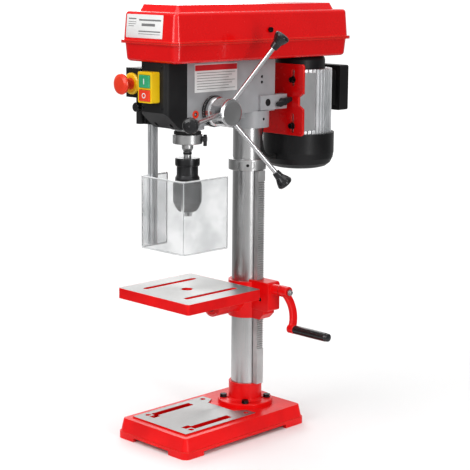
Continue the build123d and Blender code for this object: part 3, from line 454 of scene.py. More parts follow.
def finish(name, deep, light, rough, stretch, height, edge=None, edge_radius=0.7, gain=3.0, patch=90.0,
           slow=14.0, dust=0.0, detail=5.0, **shader_values):
    """A material. Lengths are in mm. Stretch is noise cycles per metre, one number or one per axis."""
    mat, tree, shader = new_material(name)
    for key, value in shader_values.items():
        shader.inputs[key.replace("_", " ")].default_value = value
    clouds = use_group(tree, GRAIN, "Value", Stretch=(slow, slow, slow), Detail=3.0, Low=0.35, High=0.65)
    cycles = stretch if isinstance(stretch, tuple) else (stretch, stretch, stretch)
    fine = use_group(tree, GRAIN, "Value", Stretch=cycles, Detail=detail)
    colour = mix_colour(tree, clouds, tone(deep), tone(light))
    wear_and_highlight = edge_wear_and_highlight_outputs(tree, edge_radius, gain, patch)
    if edge:
        colour = mix_colour(tree, wear_and_highlight["Edge"], colour, tone(edge))
    if dust:
        settled = use_group(tree, SETTLED_DUST, "Mask", Amount=dust)
        colour = mix_colour(tree, settled, colour, tone(DUST))
    link_value(tree, shader, "Base Color", colour)
    link_value(tree, shader, "Roughness", mix_value(tree, fine, rough[0], rough[1]))
    bump = tree.nodes.new("ShaderNodeBump")
    bump.inputs["Strength"].default_value = 1.0
    bump.inputs["Distance"].default_value = height * MM
    link_value(tree, bump, "Height", fine)
    link_value(tree, bump, "Normal", wear_and_highlight["Normal"])
    link_value(tree, shader, "Normal", bump.outputs[0])
    return mat


# %% [markdown]
# The red parts are cast iron and pressed sheet under the same gloss enamel. The sheet is smooth,
# with only the orange peel of a sprayed coat; the castings show the sand through the paint.

# %% Enamel
DEEP_RED, BRIGHT_RED = (0.70, 0.001, 0.003), (0.84, 0.005, 0.006)
# Painted highlight: the sheet's orange-red edge colour runs even along every edge (Patch Scale 0). It marks
# where the rounded edges and the lid's lip catch the light, not wear.
sheet_red = finish("red enamel on sheet", DEEP_RED, BRIGHT_RED, (0.22, 0.28), 60, 0.002,
                   edge=(1.0, 0.24, 0.12), edge_radius=1.6, gain=7.0, patch=0.0, slow=4.0, detail=1.0,
                   Coat_Weight=0.6, Coat_Roughness=0.10, Specular_IOR_Level=0.4)
# Painted highlight: the castings' light edge colour runs even along every edge (Patch Scale 0). It marks
# bright lines such as the base's top rim, not wear.
cast_red = finish("red enamel on iron", DEEP_RED, BRIGHT_RED, (0.28, 0.40), 200, 0.016,
                  edge=(0.98, 0.22, 0.14), edge_radius=1.6, gain=5.0, patch=0.0, dust=0.03, Coat_Weight=0.08,
                  Coat_Roughness=0.12, Specular_IOR_Level=0.35)
cast_grey = finish("grey paint on iron", (0.33, 0.335, 0.345), (0.42, 0.425, 0.44), (0.34, 0.48),
                   240, 0.014, edge=(0.66, 0.67, 0.69), edge_radius=1.2, gain=1.4, dust=0.08,
                   Coat_Weight=0.15, Coat_Roughness=0.25)
black_paint = finish("black paint", (0.010, 0.010, 0.011), (0.018, 0.018, 0.019), (0.34, 0.44),
                     300, 0.01, edge=(0.08, 0.08, 0.08), edge_radius=0.8, dust=0.05,
                     Specular_IOR_Level=0.35)

# %% [markdown]
# Steel comes bright-drawn (the column), turned (collars, spindle), cut (rack, gear), blackened
# (screws, chuck) and chromed (the feed hub and spokes). The metal is the same; what changes is
# the direction and depth of the tool marks, and how dark the surface is.

# %% Metals
column_steel = finish("drawn steel", (0.44, 0.44, 0.44), (0.58, 0.58, 0.585), (0.26, 0.36), (1600, 1600, 8),
                      0.003, edge_radius=0.3, slow=6.0, Metallic=1.0)
turned_steel = finish("turned steel", (0.46, 0.46, 0.46), (0.60, 0.60, 0.60), (0.28, 0.42), (20, 20, 1500),
                      0.01, edge=(0.8, 0.8, 0.8), edge_radius=0.5, Metallic=1.0)
rack_steel = finish("milled steel", (0.46, 0.46, 0.46), (0.64, 0.64, 0.64), (0.34, 0.50), (60, 1100, 60),
                    0.02, edge=(0.80, 0.80, 0.79), edge_radius=0.3, gain=5.0, patch=300.0, Metallic=0.6)
black_steel = finish("blackened steel", (0.020, 0.020, 0.022), (0.045, 0.045, 0.047), (0.28, 0.42),
                     (60, 60, 1200), 0.02, edge=(0.34, 0.33, 0.32), edge_radius=0.5, gain=4.0, patch=160.0,
                     Metallic=1.0)
chuck_steel = finish("oiled black chuck steel", (0.05, 0.05, 0.052), (0.11, 0.11, 0.113), (0.26, 0.38),
                     (40, 40, 1400), 0.02, edge=(0.55, 0.55, 0.54), edge_radius=0.6, gain=4.0, patch=140.0,
                     Metallic=1.0)
chrome = finish("chrome", (0.56, 0.56, 0.57), (0.68, 0.68, 0.69), (0.16, 0.26), 300, 0.004,
                edge=(0.95, 0.95, 0.95), edge_radius=0.5, Metallic=1.0)
aluminium = finish("extruded aluminium", (0.74, 0.75, 0.76), (0.86, 0.87, 0.88), (0.42, 0.54), (900, 900, 8),
                   0.004, edge=(0.85, 0.85, 0.86), edge_radius=0.4, Metallic=1.0)

# %% [markdown]
# Plastics are moulded: a fine even grain from the spark-eroded tool and no metal in them. The
# switch is glossy, the covers and knobs are satin, and rubber is nearly matt.

# %% Plastics and rubber
black_plastic = finish("black moulding", (0.010, 0.010, 0.011), (0.018, 0.018, 0.019), (0.44, 0.54),
                       900, 0.008, edge=(0.07, 0.07, 0.07), edge_radius=0.9, gain=2.0, dust=0.05,
                       Specular_IOR_Level=0.35)
knob_plastic = finish("black knob moulding", (0.012, 0.012, 0.013), (0.022, 0.022, 0.024), (0.20, 0.30),
                      500, 0.012, edge=(0.07, 0.07, 0.07), dust=0.03, Coat_Weight=0.2,
                      Coat_Roughness=0.12)
yellow_plastic = finish("yellow moulding", (0.86, 0.55, 0.008), (0.93, 0.63, 0.014), (0.26, 0.36),
                        700, 0.02, edge=(0.97, 0.78, 0.12), dust=0.04, Coat_Weight=0.15)
green_plastic = finish("green moulding", (0.045, 0.36, 0.17), (0.075, 0.46, 0.24), (0.22, 0.32),
                       600, 0.02, edge=(0.2, 0.62, 0.4), dust=0.03)
red_plastic = finish("red moulding", (0.74, 0.045, 0.018), (0.86, 0.075, 0.03), (0.24, 0.34), 600,
                     0.02, edge=(0.95, 0.22, 0.14), dust=0.05, Coat_Weight=0.1)
rubber = finish("black rubber", (0.012, 0.012, 0.012), (0.024, 0.023, 0.023), (0.55, 0.72), 500,
                0.04, edge_radius=0.4, dust=0.10)
hub_grey = finish("grey satin cap", (0.17, 0.17, 0.172), (0.23, 0.23, 0.233), (0.42, 0.52), 700,
                  0.004, edge=(0.42, 0.42, 0.42), edge_radius=0.5)
label_white = finish("label film", (0.74, 0.74, 0.735), (0.83, 0.83, 0.825), (0.30, 0.40), 300,
                     0.01, dust=0.03)
label_grey = finish("grey label ink", (0.20, 0.20, 0.205), (0.28, 0.28, 0.285), (0.34, 0.44), 500,
                    0.005)
label_red = finish("red label ink", (0.52, 0.012, 0.02), (0.64, 0.02, 0.03), (0.30, 0.40), 500,
                   0.005)
print("finishes", len(bpy.data.materials))

# %% [markdown]
# The guard is clear polycarbonate. Real glass nodes refract and reflect by themselves; the sheet only needs a
# faint tint and fine rubbing scratches in the roughness. Its cut faces are rough like a real saw cut, and
# they and a band along its edges are painted white, a painted highlight.


# %% Clear guard
def clear_guard_finish():
    mat, tree, shader = new_material("clear polycarbonate")
    plain = {"Transmission Weight": 0.88, "IOR": 1.4, "Metallic": 0.0}
    for socket, value in plain.items():
        shader.inputs[socket].default_value = value
    edge = edge_wear_and_highlight_outputs(tree, 2.0, 12.0)
    scuffs = use_group(tree, GRAIN, "Value", Stretch=(60, 60, 900), Detail=6.0, Low=0.55, High=0.8)
    haze = use_group(tree, GRAIN, "Value", Stretch=(14, 14, 18), Detail=6.0, Low=0.38, High=0.62)
    facing = add_node(tree, "ShaderNodeNewGeometry", out=3)
    rise = add_node(tree, "ShaderNodeSeparateXYZ", out=2, i_0=facing)
    sawn = calc(tree, "GREATER_THAN", calc(tree, "ABSOLUTE", rise), 0.9)
    clear = mix_colour(tree, haze, tone((0.68, 0.69, 0.695)), tone((0.88, 0.885, 0.89)))
    # Painted highlight: the cut faces and a band along the edges turn white.
    cut_edge_and_highlight = calc(tree, "MAXIMUM", sawn, edge["Edge"])
    link_value(tree, shader, "Base Color", mix_colour(tree, cut_edge_and_highlight, clear, tone((1.0, 1.0, 1.0))))
    rubbed = mix_value(tree, scuffs, 0.03, 0.14)
    link_value(tree, shader, "Roughness", mix_value(tree, sawn, rubbed, 0.55))
    link_value(tree, shader, "Normal", edge["Normal"])
    return mat


clear_guard = clear_guard_finish()
# Painted highlight: a milky white finish for the beads along the guard's edges and bends.
painted_guard_highlight = finish("painted highlight on guard edges and bends", (0.72, 0.73, 0.735), (0.88, 0.89, 0.895), (0.14, 0.26), 300,
                    0.004, edge_radius=0.4, Coat_Weight=0.4)

# %% [markdown]
# Two castings are part paint and part bare iron. The ground-face mask chooses between the two
# sets of values, so a single material covers the casting, and the paint line falls exactly where
# the cutter stopped.


# %% Castings with a ground face
def ground_casting(name, height, middle, half, rings_at=None):
    mat = cast_red.copy()
    mat.name = name
    tree = mat.node_tree
    shader = tree.nodes["Principled BSDF"]
    shader.inputs["Anisotropic"].default_value = 0.55
    mask = use_group(tree, GROUND_FACE, "Mask", Height=height, Middle=middle, Half=half)
    if rings_at:
        lines = use_group(tree, RINGS, "Value", Centre=rings_at)
        turn = add_node(tree, "ShaderNodeTangent", direction_type="RADIAL", axis="Z")
        link_value(tree, shader, "Tangent", turn)
    else:
        lines = use_group(tree, GRAIN, "Value", Stretch=(1400, 30, 1), Detail=4.0)
    stains = use_group(tree, GRAIN, "Value", Stretch=(22, 22, 22), Detail=6.0, Low=0.35, High=0.7)
    bare = mix_colour(tree, lines, tone((0.26, 0.26, 0.258)), tone((0.39, 0.39, 0.387)))
    bare = mix_colour(tree, calc(tree, "MULTIPLY", stains, 0.35), bare, tone((0.27, 0.267, 0.26)))
    paint = shader.inputs["Base Color"].links[0].from_socket
    gloss = shader.inputs["Roughness"].links[0].from_socket
    link_value(tree, shader, "Base Color", mix_colour(tree, mask, paint, bare))
    link_value(tree, shader, "Roughness", mix_value(tree, mask, gloss, mix_value(tree, lines, 0.36, 0.50)))
    link_value(tree, shader, "Metallic", mask)
    link_value(tree, shader, "Coat Weight", mix_value(tree, mask, 0.08, 0.0))
    bump = next(node for node in tree.nodes if node.type == "BUMP")
    fine = bump.inputs["Height"].links[0].from_socket
    link_value(tree, bump, "Height", mix_value(tree, mask, fine, calc(tree, "MULTIPLY", lines, 0.18)))
    return mat


def centre(name):
    low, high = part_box(name)
    return (low + high) / 2


SPINDLE = centre("spindle_shaft")
CUT_DEPTH, PAINT_RIM = 0.4 * MM, Vector((0.9, 0.9, 0)) * MM
table_low, table_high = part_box("table_casting")
base_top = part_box("base_casting")[1].z
table_half = (table_high - table_low) / 2 - PAINT_RIM
table_finish = ground_casting("table, faced top", table_high.z - CUT_DEPTH, centre("table_casting"),
                              table_half, SPINDLE)
base_finish = ground_casting("base, ground pad", base_top - CUT_DEPTH, (0, 0, 0), (1, 1, 1))
print("ground faces at", round(table_high.z, 4), round(base_top, 4))

# %% [markdown]
# Every CAD node now gets its finish. The list goes by finish, as a paint shop's sheet would, and
# the loop says if a node was forgotten.

# %% Finishes for the CAD parts
FINISHES = [
    (base_finish, "base_casting"), (table_finish, "table_casting"),
    (cast_red, "column_flange table_bracket crank_arm"), (sheet_red, "cover_pan lid motor_plate"),
    (cast_grey, "head_casting"), (column_steel, "column_tube"),
    (rack_steel, "column_rack worm_gear worm_shaft"),
    (turned_steel, "rack_collar quill_sleeve quill_collar spindle_shaft quill_bearings feed_shaft "
                   "chuck_jaw_1 chuck_jaw_2 chuck_jaw_3 motor_shaft return_spring"),
    (black_steel, "flange_bolts set_screws bracket_pins table_lock_handle lid_screw plate_hardware"),
    (chuck_steel, "chuck_body chuck_sleeve"), (chrome, "feed_hub feed_spokes"),
    (aluminium, "guard_post spindle_pulley idler_pulley motor_pulley motor_frame"),
    (black_plastic, "front_cover interlock_box guard_holder terminal_box"),
    (knob_plastic, "crank_grip guard_knob collar_lever feed_knobs depth_ring motor_wing_screw"),
    (yellow_plastic, "switch_housing estop_base"), (green_plastic, "start_button"),
    (red_plastic, "stop_button estop_button"), (clear_guard, "guard_shield"),
    (black_paint, "spring_cap idler_arm motor_end_bells"), (rubber, "belts motor_lead"),
]


def give_finishes():
    for material, names in FINISHES:
        for name in names.split():
            nodes[name].data.materials.clear()
            nodes[name].data.materials.append(material)
    given = {name for _, names in FINISHES for name in names.split()}
    print("finished nodes", len(given), "without a finish", sorted(set(nodes) - given))


give_finishes()
motor_lead.data.materials.append(rubber)

# %% [markdown]
# The small fittings are meshes. Two helpers make nearly all of them: a lathe, which turns a
# profile about an axle, and a plate with rounded corners and softened edges. Scale marks and rules
# are plain bars. One more puts a piece in place with its own Z axis along a given direction.


# %% Lathe, plate and placing
def placing(at, axis=(0, 0, 1), spin=0.0):
    turn = Vector(axis).to_track_quat("Z", "Y").to_matrix().to_4x4()
    return Matrix.Translation(Vector(at)) @ turn @ Matrix.Rotation(spin, 4, "Z")


def lathe(name, profile, at, axis=(0, 0, 1), sides=48, closed=False):
    """Turns (radius, height) points in mm; a closed profile makes a ring."""
    bm = bmesh.new()
    rows = []
    for radius, height in profile:
        if radius < 1e-6:
            rows.append([bm.verts.new((0, 0, height * MM))])
        else:
            turns = [2 * pi * k / sides for k in range(sides)]
            r = radius * MM
            rows.append([bm.verts.new((r * cos(t), r * sin(t), height * MM)) for t in turns])
    pairs = list(zip(rows, rows[1:])) + ([(rows[-1], rows[0])] if closed else [])
    for first, second in pairs:
        for k in range(sides):
            n = (k + 1) % sides
            corner = [first[k], first[n % len(first)], second[n % len(second)], second[k % len(second)]] \
                if len(first) > 1 else [first[0], second[n], second[k]]
            unique = list(dict.fromkeys(corner))
            if len(unique) > 2:
                bm.faces.new(unique)
    bm.transform(placing(at, axis))
    return mesh_object(name, bm)


def plate(name, width, height, thick, radius, at, axis, spin=0.0, soft=0.2, segments=6):
    """A flat plate on its back face at the given place, with rounded corners, in mm."""
    bm = bmesh.new()
    half_w, half_h = width / 2 - radius, height / 2 - radius
    outline = []
    for sx, sy, start in ((1, 1, 0), (-1, 1, 90), (-1, -1, 180), (1, -1, 270)):
        for k in range(segments + 1):
            angle = radians(start + 90 * k / segments)
            x, y = sx * half_w + radius * cos(angle), sy * half_h + radius * sin(angle)
            outline.append((x * MM, y * MM))
    bottom = bm.faces.new([bm.verts.new((x, y, 0)) for x, y in outline])
    grown = bmesh.ops.extrude_face_region(bm, geom=[bottom])
    top = [g for g in grown["geom"] if isinstance(g, bmesh.types.BMVert)]
    bmesh.ops.translate(bm, verts=top, vec=(0, 0, thick * MM))
    rim = [e for e in bm.edges if all(v.co.z > thick * MM / 2 for v in e.verts)]
    if soft:
        bmesh.ops.bevel(bm, geom=rim, offset=soft * MM, segments=2, affect="EDGES", profile=0.6)
    bm.transform(placing(at, axis, spin))
    return mesh_object(name, bm)


def fit(piece, body, material):
    piece.data.materials.append(material)
    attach(piece, body)
    return piece


def bar(size, place):
    """A loose block with sides in mm, put where the matrix says."""
    bm = bmesh.new()
    bmesh.ops.create_cube(bm, size=1.0)
    bm.transform(place @ Matrix.Diagonal((*(side * MM for side in size), 1)))
    return mesh_object("bar", bm, smooth=False)


def join_meshes(name, pieces):
    """Several loose meshes as one piece."""
    bm = bmesh.new()
    for piece in pieces:
        bm.from_mesh(piece.data)
        bpy.data.objects.remove(piece)
    return mesh_object(name, bm)


# %% [markdown]
# Screws. A pan head with a cross recess is a lathe profile with a real sunk cross: the cross is
# two thin bars that a boolean takes out of the head, which holds its shape at any distance.


# %% Cross-head and hexagon screws
def cross_screw(name, at, axis, radius=3.2, height=1.9):
    profile = [(0, 0), (radius, 0), (radius, height * 0.45), (radius * 0.82, height * 0.85),
               (radius * 0.45, height), (0, height)]
    head = lathe(name, profile, (0, 0, 0), sides=32)
    bm = bmesh.new()
    for turn in (0, pi / 2):
        shape = Matrix.Translation((0, 0, height * MM)) @ Matrix.Rotation(turn, 4, "Z") \
            @ Matrix.Diagonal((radius * 1.15 * MM, radius * 0.26 * MM, height * 0.9 * MM, 1))
        bmesh.ops.create_cube(bm, size=1.0, matrix=shape)
    cutter = mesh_object("cutter", bm, smooth=False)
    cut = head.modifiers.new("cross", "BOOLEAN")
    cut.operation, cut.object, cut.solver, cut.use_self = "DIFFERENCE", cutter, "EXACT", True
    graph = bpy.context.evaluated_depsgraph_get()
    carved = bpy.data.meshes.new_from_object(head.evaluated_get(graph))
    head.modifiers.clear()
    head.data = carved
    bpy.data.objects.remove(cutter)
    head.data.transform(placing(at, axis, 0.4))
    return head


def screw_set(name, body, places, axis, radius, height):
    """Like cross-head screws, joined as one piece."""
    heads = [cross_screw("screw", at, axis, radius, height) for at in places]
    fit(join_meshes(name, heads), body, black_steel)


def hexagon_head(name, at, axis, across, height, washer=0.0):
    """A hexagon head with its chamfered crown, and a washer under it."""
    corner = across / 2 / cos(pi / 6)
    head = lathe("head", [(0, 0), (corner, 0), (corner, height * 0.82), (corner * 0.84, height), (0, height)],
                 (0, 0, washer * MM), sides=6)
    parts = [head]
    if washer:
        wide = corner * 1.25
        profile = [(0, 0), (wide, 0), (wide, washer * 0.8), (wide * 0.96, washer), (0, washer)]
        parts.append(lathe("washer", profile, (0, 0, 0), sides=36))
    screw = join_meshes(name, parts)
    screw.data.transform(placing(at, axis))
    return screw


print("helpers ready")

# %% [markdown]
# Plates and stickers. The head carries an instruction sticker and the lid a rating sticker. The
# real ones are printed; here they are blank films with a coloured band and plain rules, so that
# they read as stickers without saying anything. Each rule is a thin raised film of its own.


# %% Stickers on the head and on the lid
def rules(name, at, along, up, axis, rows, thick=0.12):
    """Thin bars: rows of (start, end, height, width of line) in mm, from a corner."""
    bars = []
    for start, end, height, line in rows:
        place = Vector(at) + Vector(along) * ((start + end) / 2 * MM) + Vector(up) * (height * MM)
        size = [abs(a) * (end - start) + abs(b) * line + abs(c) * thick for a, b, c in zip(along, up, axis)]
        bars.append(bar(size, Matrix.Translation(place + Vector(axis) * thick / 2 * MM)))
    return join_meshes(name, bars)


HEAD_SIDE = 37.8 * MM
FILM = 0.25


def head_sticker():
    front, rear, bottom, top = -46.5, 69.6, 706.0, 761.0
    length, y = rear - front, (front + rear) / 2 * MM
    film = plate("head_sticker", length, top - bottom, FILM, 1.5, (HEAD_SIDE, y, (bottom + top) / 2 * MM),
                 (1, 0, 0), soft=0.05)
    fit(film, "frame", label_white)
    face = HEAD_SIDE + FILM * MM
    band_at = (face, y, (top - 7.5) * MM)
    band = plate("head_sticker_band", length - 2, 11, 0.12, 0.6, band_at, (1, 0, 0), soft=0)
    fit(band, "frame", label_red)
    rows = [(6, length - 6 - 9 * (k % 3), 37.5 - 5.2 * k, 1.1) for k in range(7)]
    corner = (face, front * MM, bottom * MM)
    lines = rules("head_sticker_rules", corner, (0, 1, 0), (0, 0, 1), (1, 0, 0), rows)
    fit(lines, "frame", label_grey)


def lid_sticker():
    lean, up_the_end, clearance = radians(4.6), 30.2, 0.05
    foot = Vector((-12.5, -132.9, 803.9)) * MM
    out = Vector((0, -cos(lean), sin(lean)))
    rise = Vector((0, sin(lean), cos(lean)))
    middle = foot + rise * (up_the_end * MM) + out * clearance * MM
    film = plate("lid_sticker", 104, 45, FILM, 1.5, (0, 0, 0), (0, 0, 1), soft=0.05)
    place = Matrix((Vector((1, 0, 0)), rise, out)).transposed().to_4x4()
    turn = Matrix.Translation(middle) @ place
    film.data.transform(turn)
    fit(film, "lid", label_white)
    rows = [(-16, 46, 12, 3.0), (-8, 30, 3, 5.0), (-16, 46, -9.5, 2.2), (-16, 46, -14.5, 1.0),
            (-46, -24, 14, 2.4), (-46, -24, 8, 1.0), (-46, -24, 4, 1.0), (-46, -30, 0, 1.0)]
    lines = rules("lid_sticker_rules", (0, 0, FILM * MM), (1, 0, 0), (0, 1, 0), (0, 0, 1), rows)
    lines.data.transform(turn)
    fit(lines, "lid", label_grey)


head_sticker()
lid_sticker()
print("stickers made")

# %% [markdown]
# Plugs and rings on the head: a red plug for the quill lock, a black one in the motor rod's ear, and a black
# rubber ring on the quill just above its collar. The depth ring gets its graduations here too.


# %% Plugs, the quill's black ring and depth scale
def head_plugs():
    ring = [(3.6, -1.0), (7.4, -1.0), (8.0, 0.4), (7.6, 1.6), (6.6, 2.0), (4.4, 1.6), (3.6, 0.4)]
    lock_at = (HEAD_SIDE, -44.2 * MM, 664 * MM)
    plug = lathe("quill_lock_plug", ring, lock_at, (1, 0, 0), closed=True)
    fit(plug, "frame", red_plastic)
    socket = [(0, -1.0), (4.0, -1.0), (4.0, 0.2), (2.2, 0.2), (2.0, -0.6), (0, -0.6)]
    pit = lathe("quill_lock_screw", socket, lock_at, (1, 0, 0))
    fit(pit, "frame", black_steel)
    cap = [(0, -2.5), (7.3, -2.5), (7.4, -0.4), (6.4, 0.6), (3.5, 1.1), (0, 1.2)]
    ear = lathe("rod_ear_plug", cap, (44 * MM, 153 * MM, 676 * MM), (1, 0, 0))
    fit(ear, "frame", black_plastic)


def quill_black_ring():
    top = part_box("quill_collar")[1].z
    profile = [(22.2, 0.1), (26.2, 0.1), (27.0, 1.0), (27.0, 4.2), (26.2, 5.4), (22.2, 5.4)]
    black_ring = lathe("quill_black_ring", profile, (SPINDLE.x, SPINDLE.y, top), closed=True)
    fit(black_ring, "quill", rubber)


def depth_marks():
    """White graduations round the black stop ring, every fifth one long."""
    middle, count, ring_radius, outer_end = centre("depth_ring"), 60, 31.02, 47.8
    marks = []
    for k in range(count):
        angle = 2 * pi * k / count
        length, wide = (4.2, 0.6) if k % 5 == 0 else (2.4, 0.4)
        out = Matrix.Translation(((outer_end - length / 2) * MM - middle.x, 0, ring_radius * MM))
        turn = Matrix.Translation(middle) @ Matrix.Rotation(angle, 4, "X")
        marks.append(bar((length, wide, 0.16), turn @ out))
    fit(join_meshes("depth_scale", marks), "depth_ring", label_white)


head_plugs()
quill_black_ring()
depth_marks()

# %% [markdown]
# The chuck is gripped by hand, so its two collars are knurled. A knurl is a real diamond pattern
# rolled into the steel: two sets of helical grooves that cross. A band whose radius follows the
# product of two waves gives true diamonds in the silhouette too. A rubber seal closes the spindle's
# nose above the chuck.


# %% Knurled bands
def knurl(name, radius, low, high, at, teeth, rows=14):
    """A ring from low to high in mm, smooth at its two ends and in its bore."""
    depth, land, bore = 0.28, 0.1, radius - 0.6
    bm = bmesh.new()
    sides = teeth * 4
    grid = []
    for j in range(rows + 1):
        height = low + (high - low) * j / rows
        fade = 1.0 if 0 < j < rows else 0.0
        row = []
        for k in range(sides):
            angle = 2 * pi * k / sides
            twist = (height - low) / radius
            ridge = abs(sin(teeth * (angle + twist) / 2) * sin(teeth * (angle - twist) / 2))
            r = (radius - land + fade * (depth * ridge + land)) * MM
            row.append(bm.verts.new((r * cos(angle), r * sin(angle), height * MM)))
        grid.append(row)
    for first, second in zip(grid, grid[1:]):
        for k in range(sides):
            n = (k + 1) % sides
            bm.faces.new((first[k], first[n], second[n], second[k]))
    narrow = bore / (radius - land)
    inner = [[bm.verts.new((v.co.x * narrow, v.co.y * narrow, v.co.z)) for v in row]
             for row in (grid[0], grid[-1])]
    for first, second in ((grid[0], inner[0]), (grid[-1], inner[1]), inner):
        for k in range(sides):
            n = (k + 1) % sides
            bm.faces.new((first[k], first[n], second[n], second[k]))
    bm.transform(placing(at))
    return mesh_object(name, bm)


def chuck_knurls():
    chuck_top = (SPINDLE.x, SPINDLE.y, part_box("chuck_body")[1].z)
    upper = knurl("chuck_collar_knurl", 24.3, -12.9, -2.5, chuck_top, teeth=60)
    fit(upper, "spindle", chuck_steel)
    seal = [(7.75, 7.0), (8.3, 7.0), (8.6, 7.6), (8.6, 10.6), (8.2, 11.2), (7.75, 11.2)]
    seal = lathe("spindle_seal", seal, chuck_top, closed=True)
    fit(seal, "spindle", rubber)
    lower = knurl("chuck_sleeve_knurl", 27.35, 490.0, 521.0, (SPINDLE.x, SPINDLE.y, 0), teeth=68, rows=36)
    fit(lower, "chuck_sleeve", chuck_steel)


chuck_knurls()

# %% [markdown]
# The switch. Its two buttons carry the usual bar and ring, raised from the moulding. Four small screws hold
# the interlock box and four the front cover. The guard is screwed to its post, and milky beads along its
# edges and along the inside of its bends are painted highlights, since a clear sheet shows mostly by the
# light on its edges and bends.


# %% Switch symbols, screws, guard fittings and painted guard highlights
def switch_details():
    forward = (0, -1, 0)
    for body in ("start_button", "stop_button"):
        middle = centre(body)
        at = (middle.x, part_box(body)[0].y, middle.z)
        if body == "start_button":
            sign = plate("start_sign", 2.4, 11, 0.35, 0.9, at, forward, soft=0.1)
        else:
            ring = [(3.4, 0), (5.2, 0), (5.2, 0.3), (5.0, 0.4), (3.6, 0.4), (3.4, 0.3)]
            sign = lathe("stop_sign", ring, at, forward, closed=True)
        fit(sign, body, label_white)
    low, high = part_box("interlock_box")
    places = [(x, low.y, z) for x in (low.x + 6 * MM, low.x + 38 * MM)
              for z in (low.z + 6 * MM, high.z - 6 * MM)]
    screw_set("interlock_screws", "frame", places, forward, 2.4, 1.3)
    low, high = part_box("front_cover")
    places = [(x, low.y, z) for x in (-27 * MM, 27 * MM) for z in (high.z - 8 * MM, 679 * MM)]
    screw_set("cover_screws", "frame", places, forward, 2.8, 1.5)


def guard_fixings():
    """Two screws clamp the clear guard to the slotted post, with washers outside."""
    x, y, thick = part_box("guard_shield")[0].x, centre("guard_post").y, 0.8
    screws = []
    for z in (430 * MM, 500 * MM):
        washer = lathe("washer", [(0, 0), (5.2, 0), (5.2, thick), (0, thick)], (x, y, z), (-1, 0, 0))
        screws += [washer, cross_screw("screw", (x - thick * MM, y, z), (-1, 0, 0), radius=3.6, height=2.2)]
        screws.append(lathe("stem", [(0, 0), (2.1, 0), (2.1, 3.4), (0, 3.4)], (x, y, z), (1, 0, 0)))
    fit(join_meshes("guard_screws", screws), "guard", chrome)


def guard_highlight_beads():
    """White beads on the sheet's edges and along the inside of its two bends: painted highlights, which at
    the edges also round the polished cut.
    """
    low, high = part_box("guard_shield")
    inset, bend, short, thick, thin = 1.5 * MM, 6 * MM, 50 * MM, 1.65, 0.8
    bottom, top = low.z + 1.2 * MM, high.z - 1.2 * MM
    left, right, front = low.x + inset, high.x - inset, low.y + inset
    rim = [(left, high.y - short), (left, front + bend), (left + bend, front), (right - bend, front),
           (right, front + bend), (right, high.y)]
    beads = []

    def bead(start, end, radius):
        run = Vector(end) - Vector(start)
        length = run.length / MM
        profile = [(0, 0), (radius, 0), (radius, length), (0, length)]
        beads.append(lathe("bead", profile, start, run, sides=16))

    for z in (bottom, top):
        for first, second in zip(rim, rim[1:]):
            bead((*first, z), (*second, z), thick)
    for x, y, radius in ((*rim[0], thick), (*rim[-1], thick), (left + bend / 2, front + bend / 2, thin),
                         (right - bend / 2, front + bend / 2, thin)):
        bead((x, y, bottom), (x, y, top), radius)
    fit(join_meshes("guard_highlight_beads", beads), "guard", painted_guard_highlight)


switch_details()
guard_fixings()
guard_highlight_beads()

# %% [markdown]
# The feed hub ends in a satin cap. On the table's lift the crank is held by a bolt and washer, and
# the tilt is read on lines at the bracket's pivot, one every few degrees.


# %% Hub cap, crank bolt and tilt scale
def feed_hub_cap():
    """The hub's satin end cap, with a turned step round its rim."""
    middle = centre("feed_hub")
    profile = [(0, 0), (23.6, 0), (23.6, 0.5), (22.4, 0.9), (20.5, 0.9), (20.0, 0.6), (0, 0.6)]
    cap = lathe("feed_hub_cap", profile, (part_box("feed_hub")[1].x, middle.y, middle.z), (1, 0, 0))
    fit(cap, "feed", hub_grey)


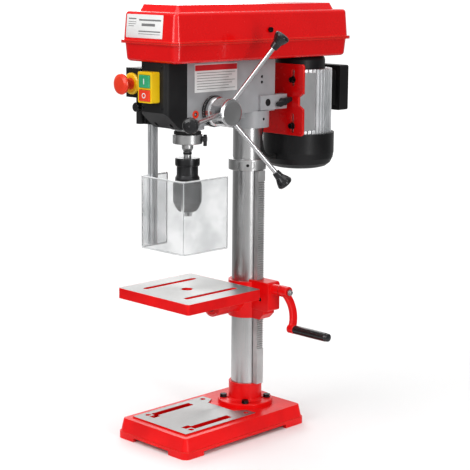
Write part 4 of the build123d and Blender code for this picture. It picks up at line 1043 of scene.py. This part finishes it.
def lift_details():
    low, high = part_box("crank_arm")
    shaft = centre("worm_shaft")
    end_at = (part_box("worm_shaft")[1].x, shaft.y, shaft.z)
    bolt = hexagon_head("crank_bolt", end_at, (1, 0, 0), 9, 3.6, washer=1.2)
    fit(bolt, "crank", turned_steel)
    end = [(0, 0), (8.0, 0), (8.2, 1.0), (7.6, 2.8), (5.5, 3.7), (0, 4.0)]
    cap = lathe("crank_grip_cap", end, (high.x - 2.9 * MM, shaft.y, low.z + 9.1 * MM), (1, 0, 0))
    fit(cap, "crank", knob_plastic)
    pivot, out = Matrix.Translation((0, 38 * MM, 264 * MM)), Matrix.Translation((0, 0, 20.4 * MM))
    marks = []
    for k in range(-6, 7):
        length = 4.0 if k % 2 == 0 else 2.4
        turn = Matrix.Rotation(pi + radians(7.5 * k), 4, "Y")
        marks.append(bar((0.5, 0.2, length), pivot @ turn @ out))
    fit(join_meshes("tilt_scale", marks), "table", label_white)


lift_details()
feed_hub_cap()

# %% [markdown]
# The motor. Long screws hold its end bells together, a blank rating plate lies over the fins, the
# terminal box has four screws in its lid, and the lead goes in through glands.


# %% Motor fittings and glands
def motor_details():
    axis_y, reach, circle = 294.3 * MM, 69 * MM, 44 * MM
    bells_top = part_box("motor_end_bells")[1].z
    screws = []
    for k in range(4):
        angle = radians(45 + 90 * k)
        at = (circle * cos(angle), axis_y + circle * sin(angle), bells_top)
        screws.append(hexagon_head("screw", at, (0, 0, 1), 5.5, 1.2))
    fit(join_meshes("bell_screws", screws), "motor", black_steel)
    at = (0.6 * MM - reach, axis_y + 6 * MM, 668 * MM)
    rating = plate("rating_plate", 44, 56, 0.8, 2, at, (-1, 0, 0), soft=0.2)
    fit(rating, "motor", turned_steel)
    low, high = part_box("terminal_box")
    inset = 7 * MM
    places = [(x, high.y, z) for x in (low.x + inset, high.x - inset)
              for z in (low.z + inset, high.z - inset)]
    screw_set("terminal_screws", "motor", places, (0, 1, 0), 2.8, 1.4)


def glands():
    """A ribbed, tapered sleeve at each end of the lead."""
    profile = [(3.45, 0), (6.4, 0), (6.4, 3), (5.8, 3.4)]
    for k in range(5):
        z = 4.4 + 3.2 * k
        r = 5.8 - 0.38 * k
        profile += [(r, z), (r, z + 1.6), (r - 0.5, z + 2.0), (r - 0.5, z + 3.0)]
    profile += [(3.9, 21), (3.45, 21)]
    head_end = (3 * MM, 175.8 * MM, 624.8 * MM)
    start = lathe("lead_gland_head", profile, head_end, (0, 0, -1), sides=32, closed=True)
    fit(start, "frame", rubber)
    end_profile = [(r, z * 0.55) for r, z in profile]
    end = lathe("lead_gland_motor", end_profile, (0, 219.6 * MM, 555 * MM), (0, -1, 0), sides=32, closed=True)
    fit(end, "motor", rubber)


motor_details()
glands()
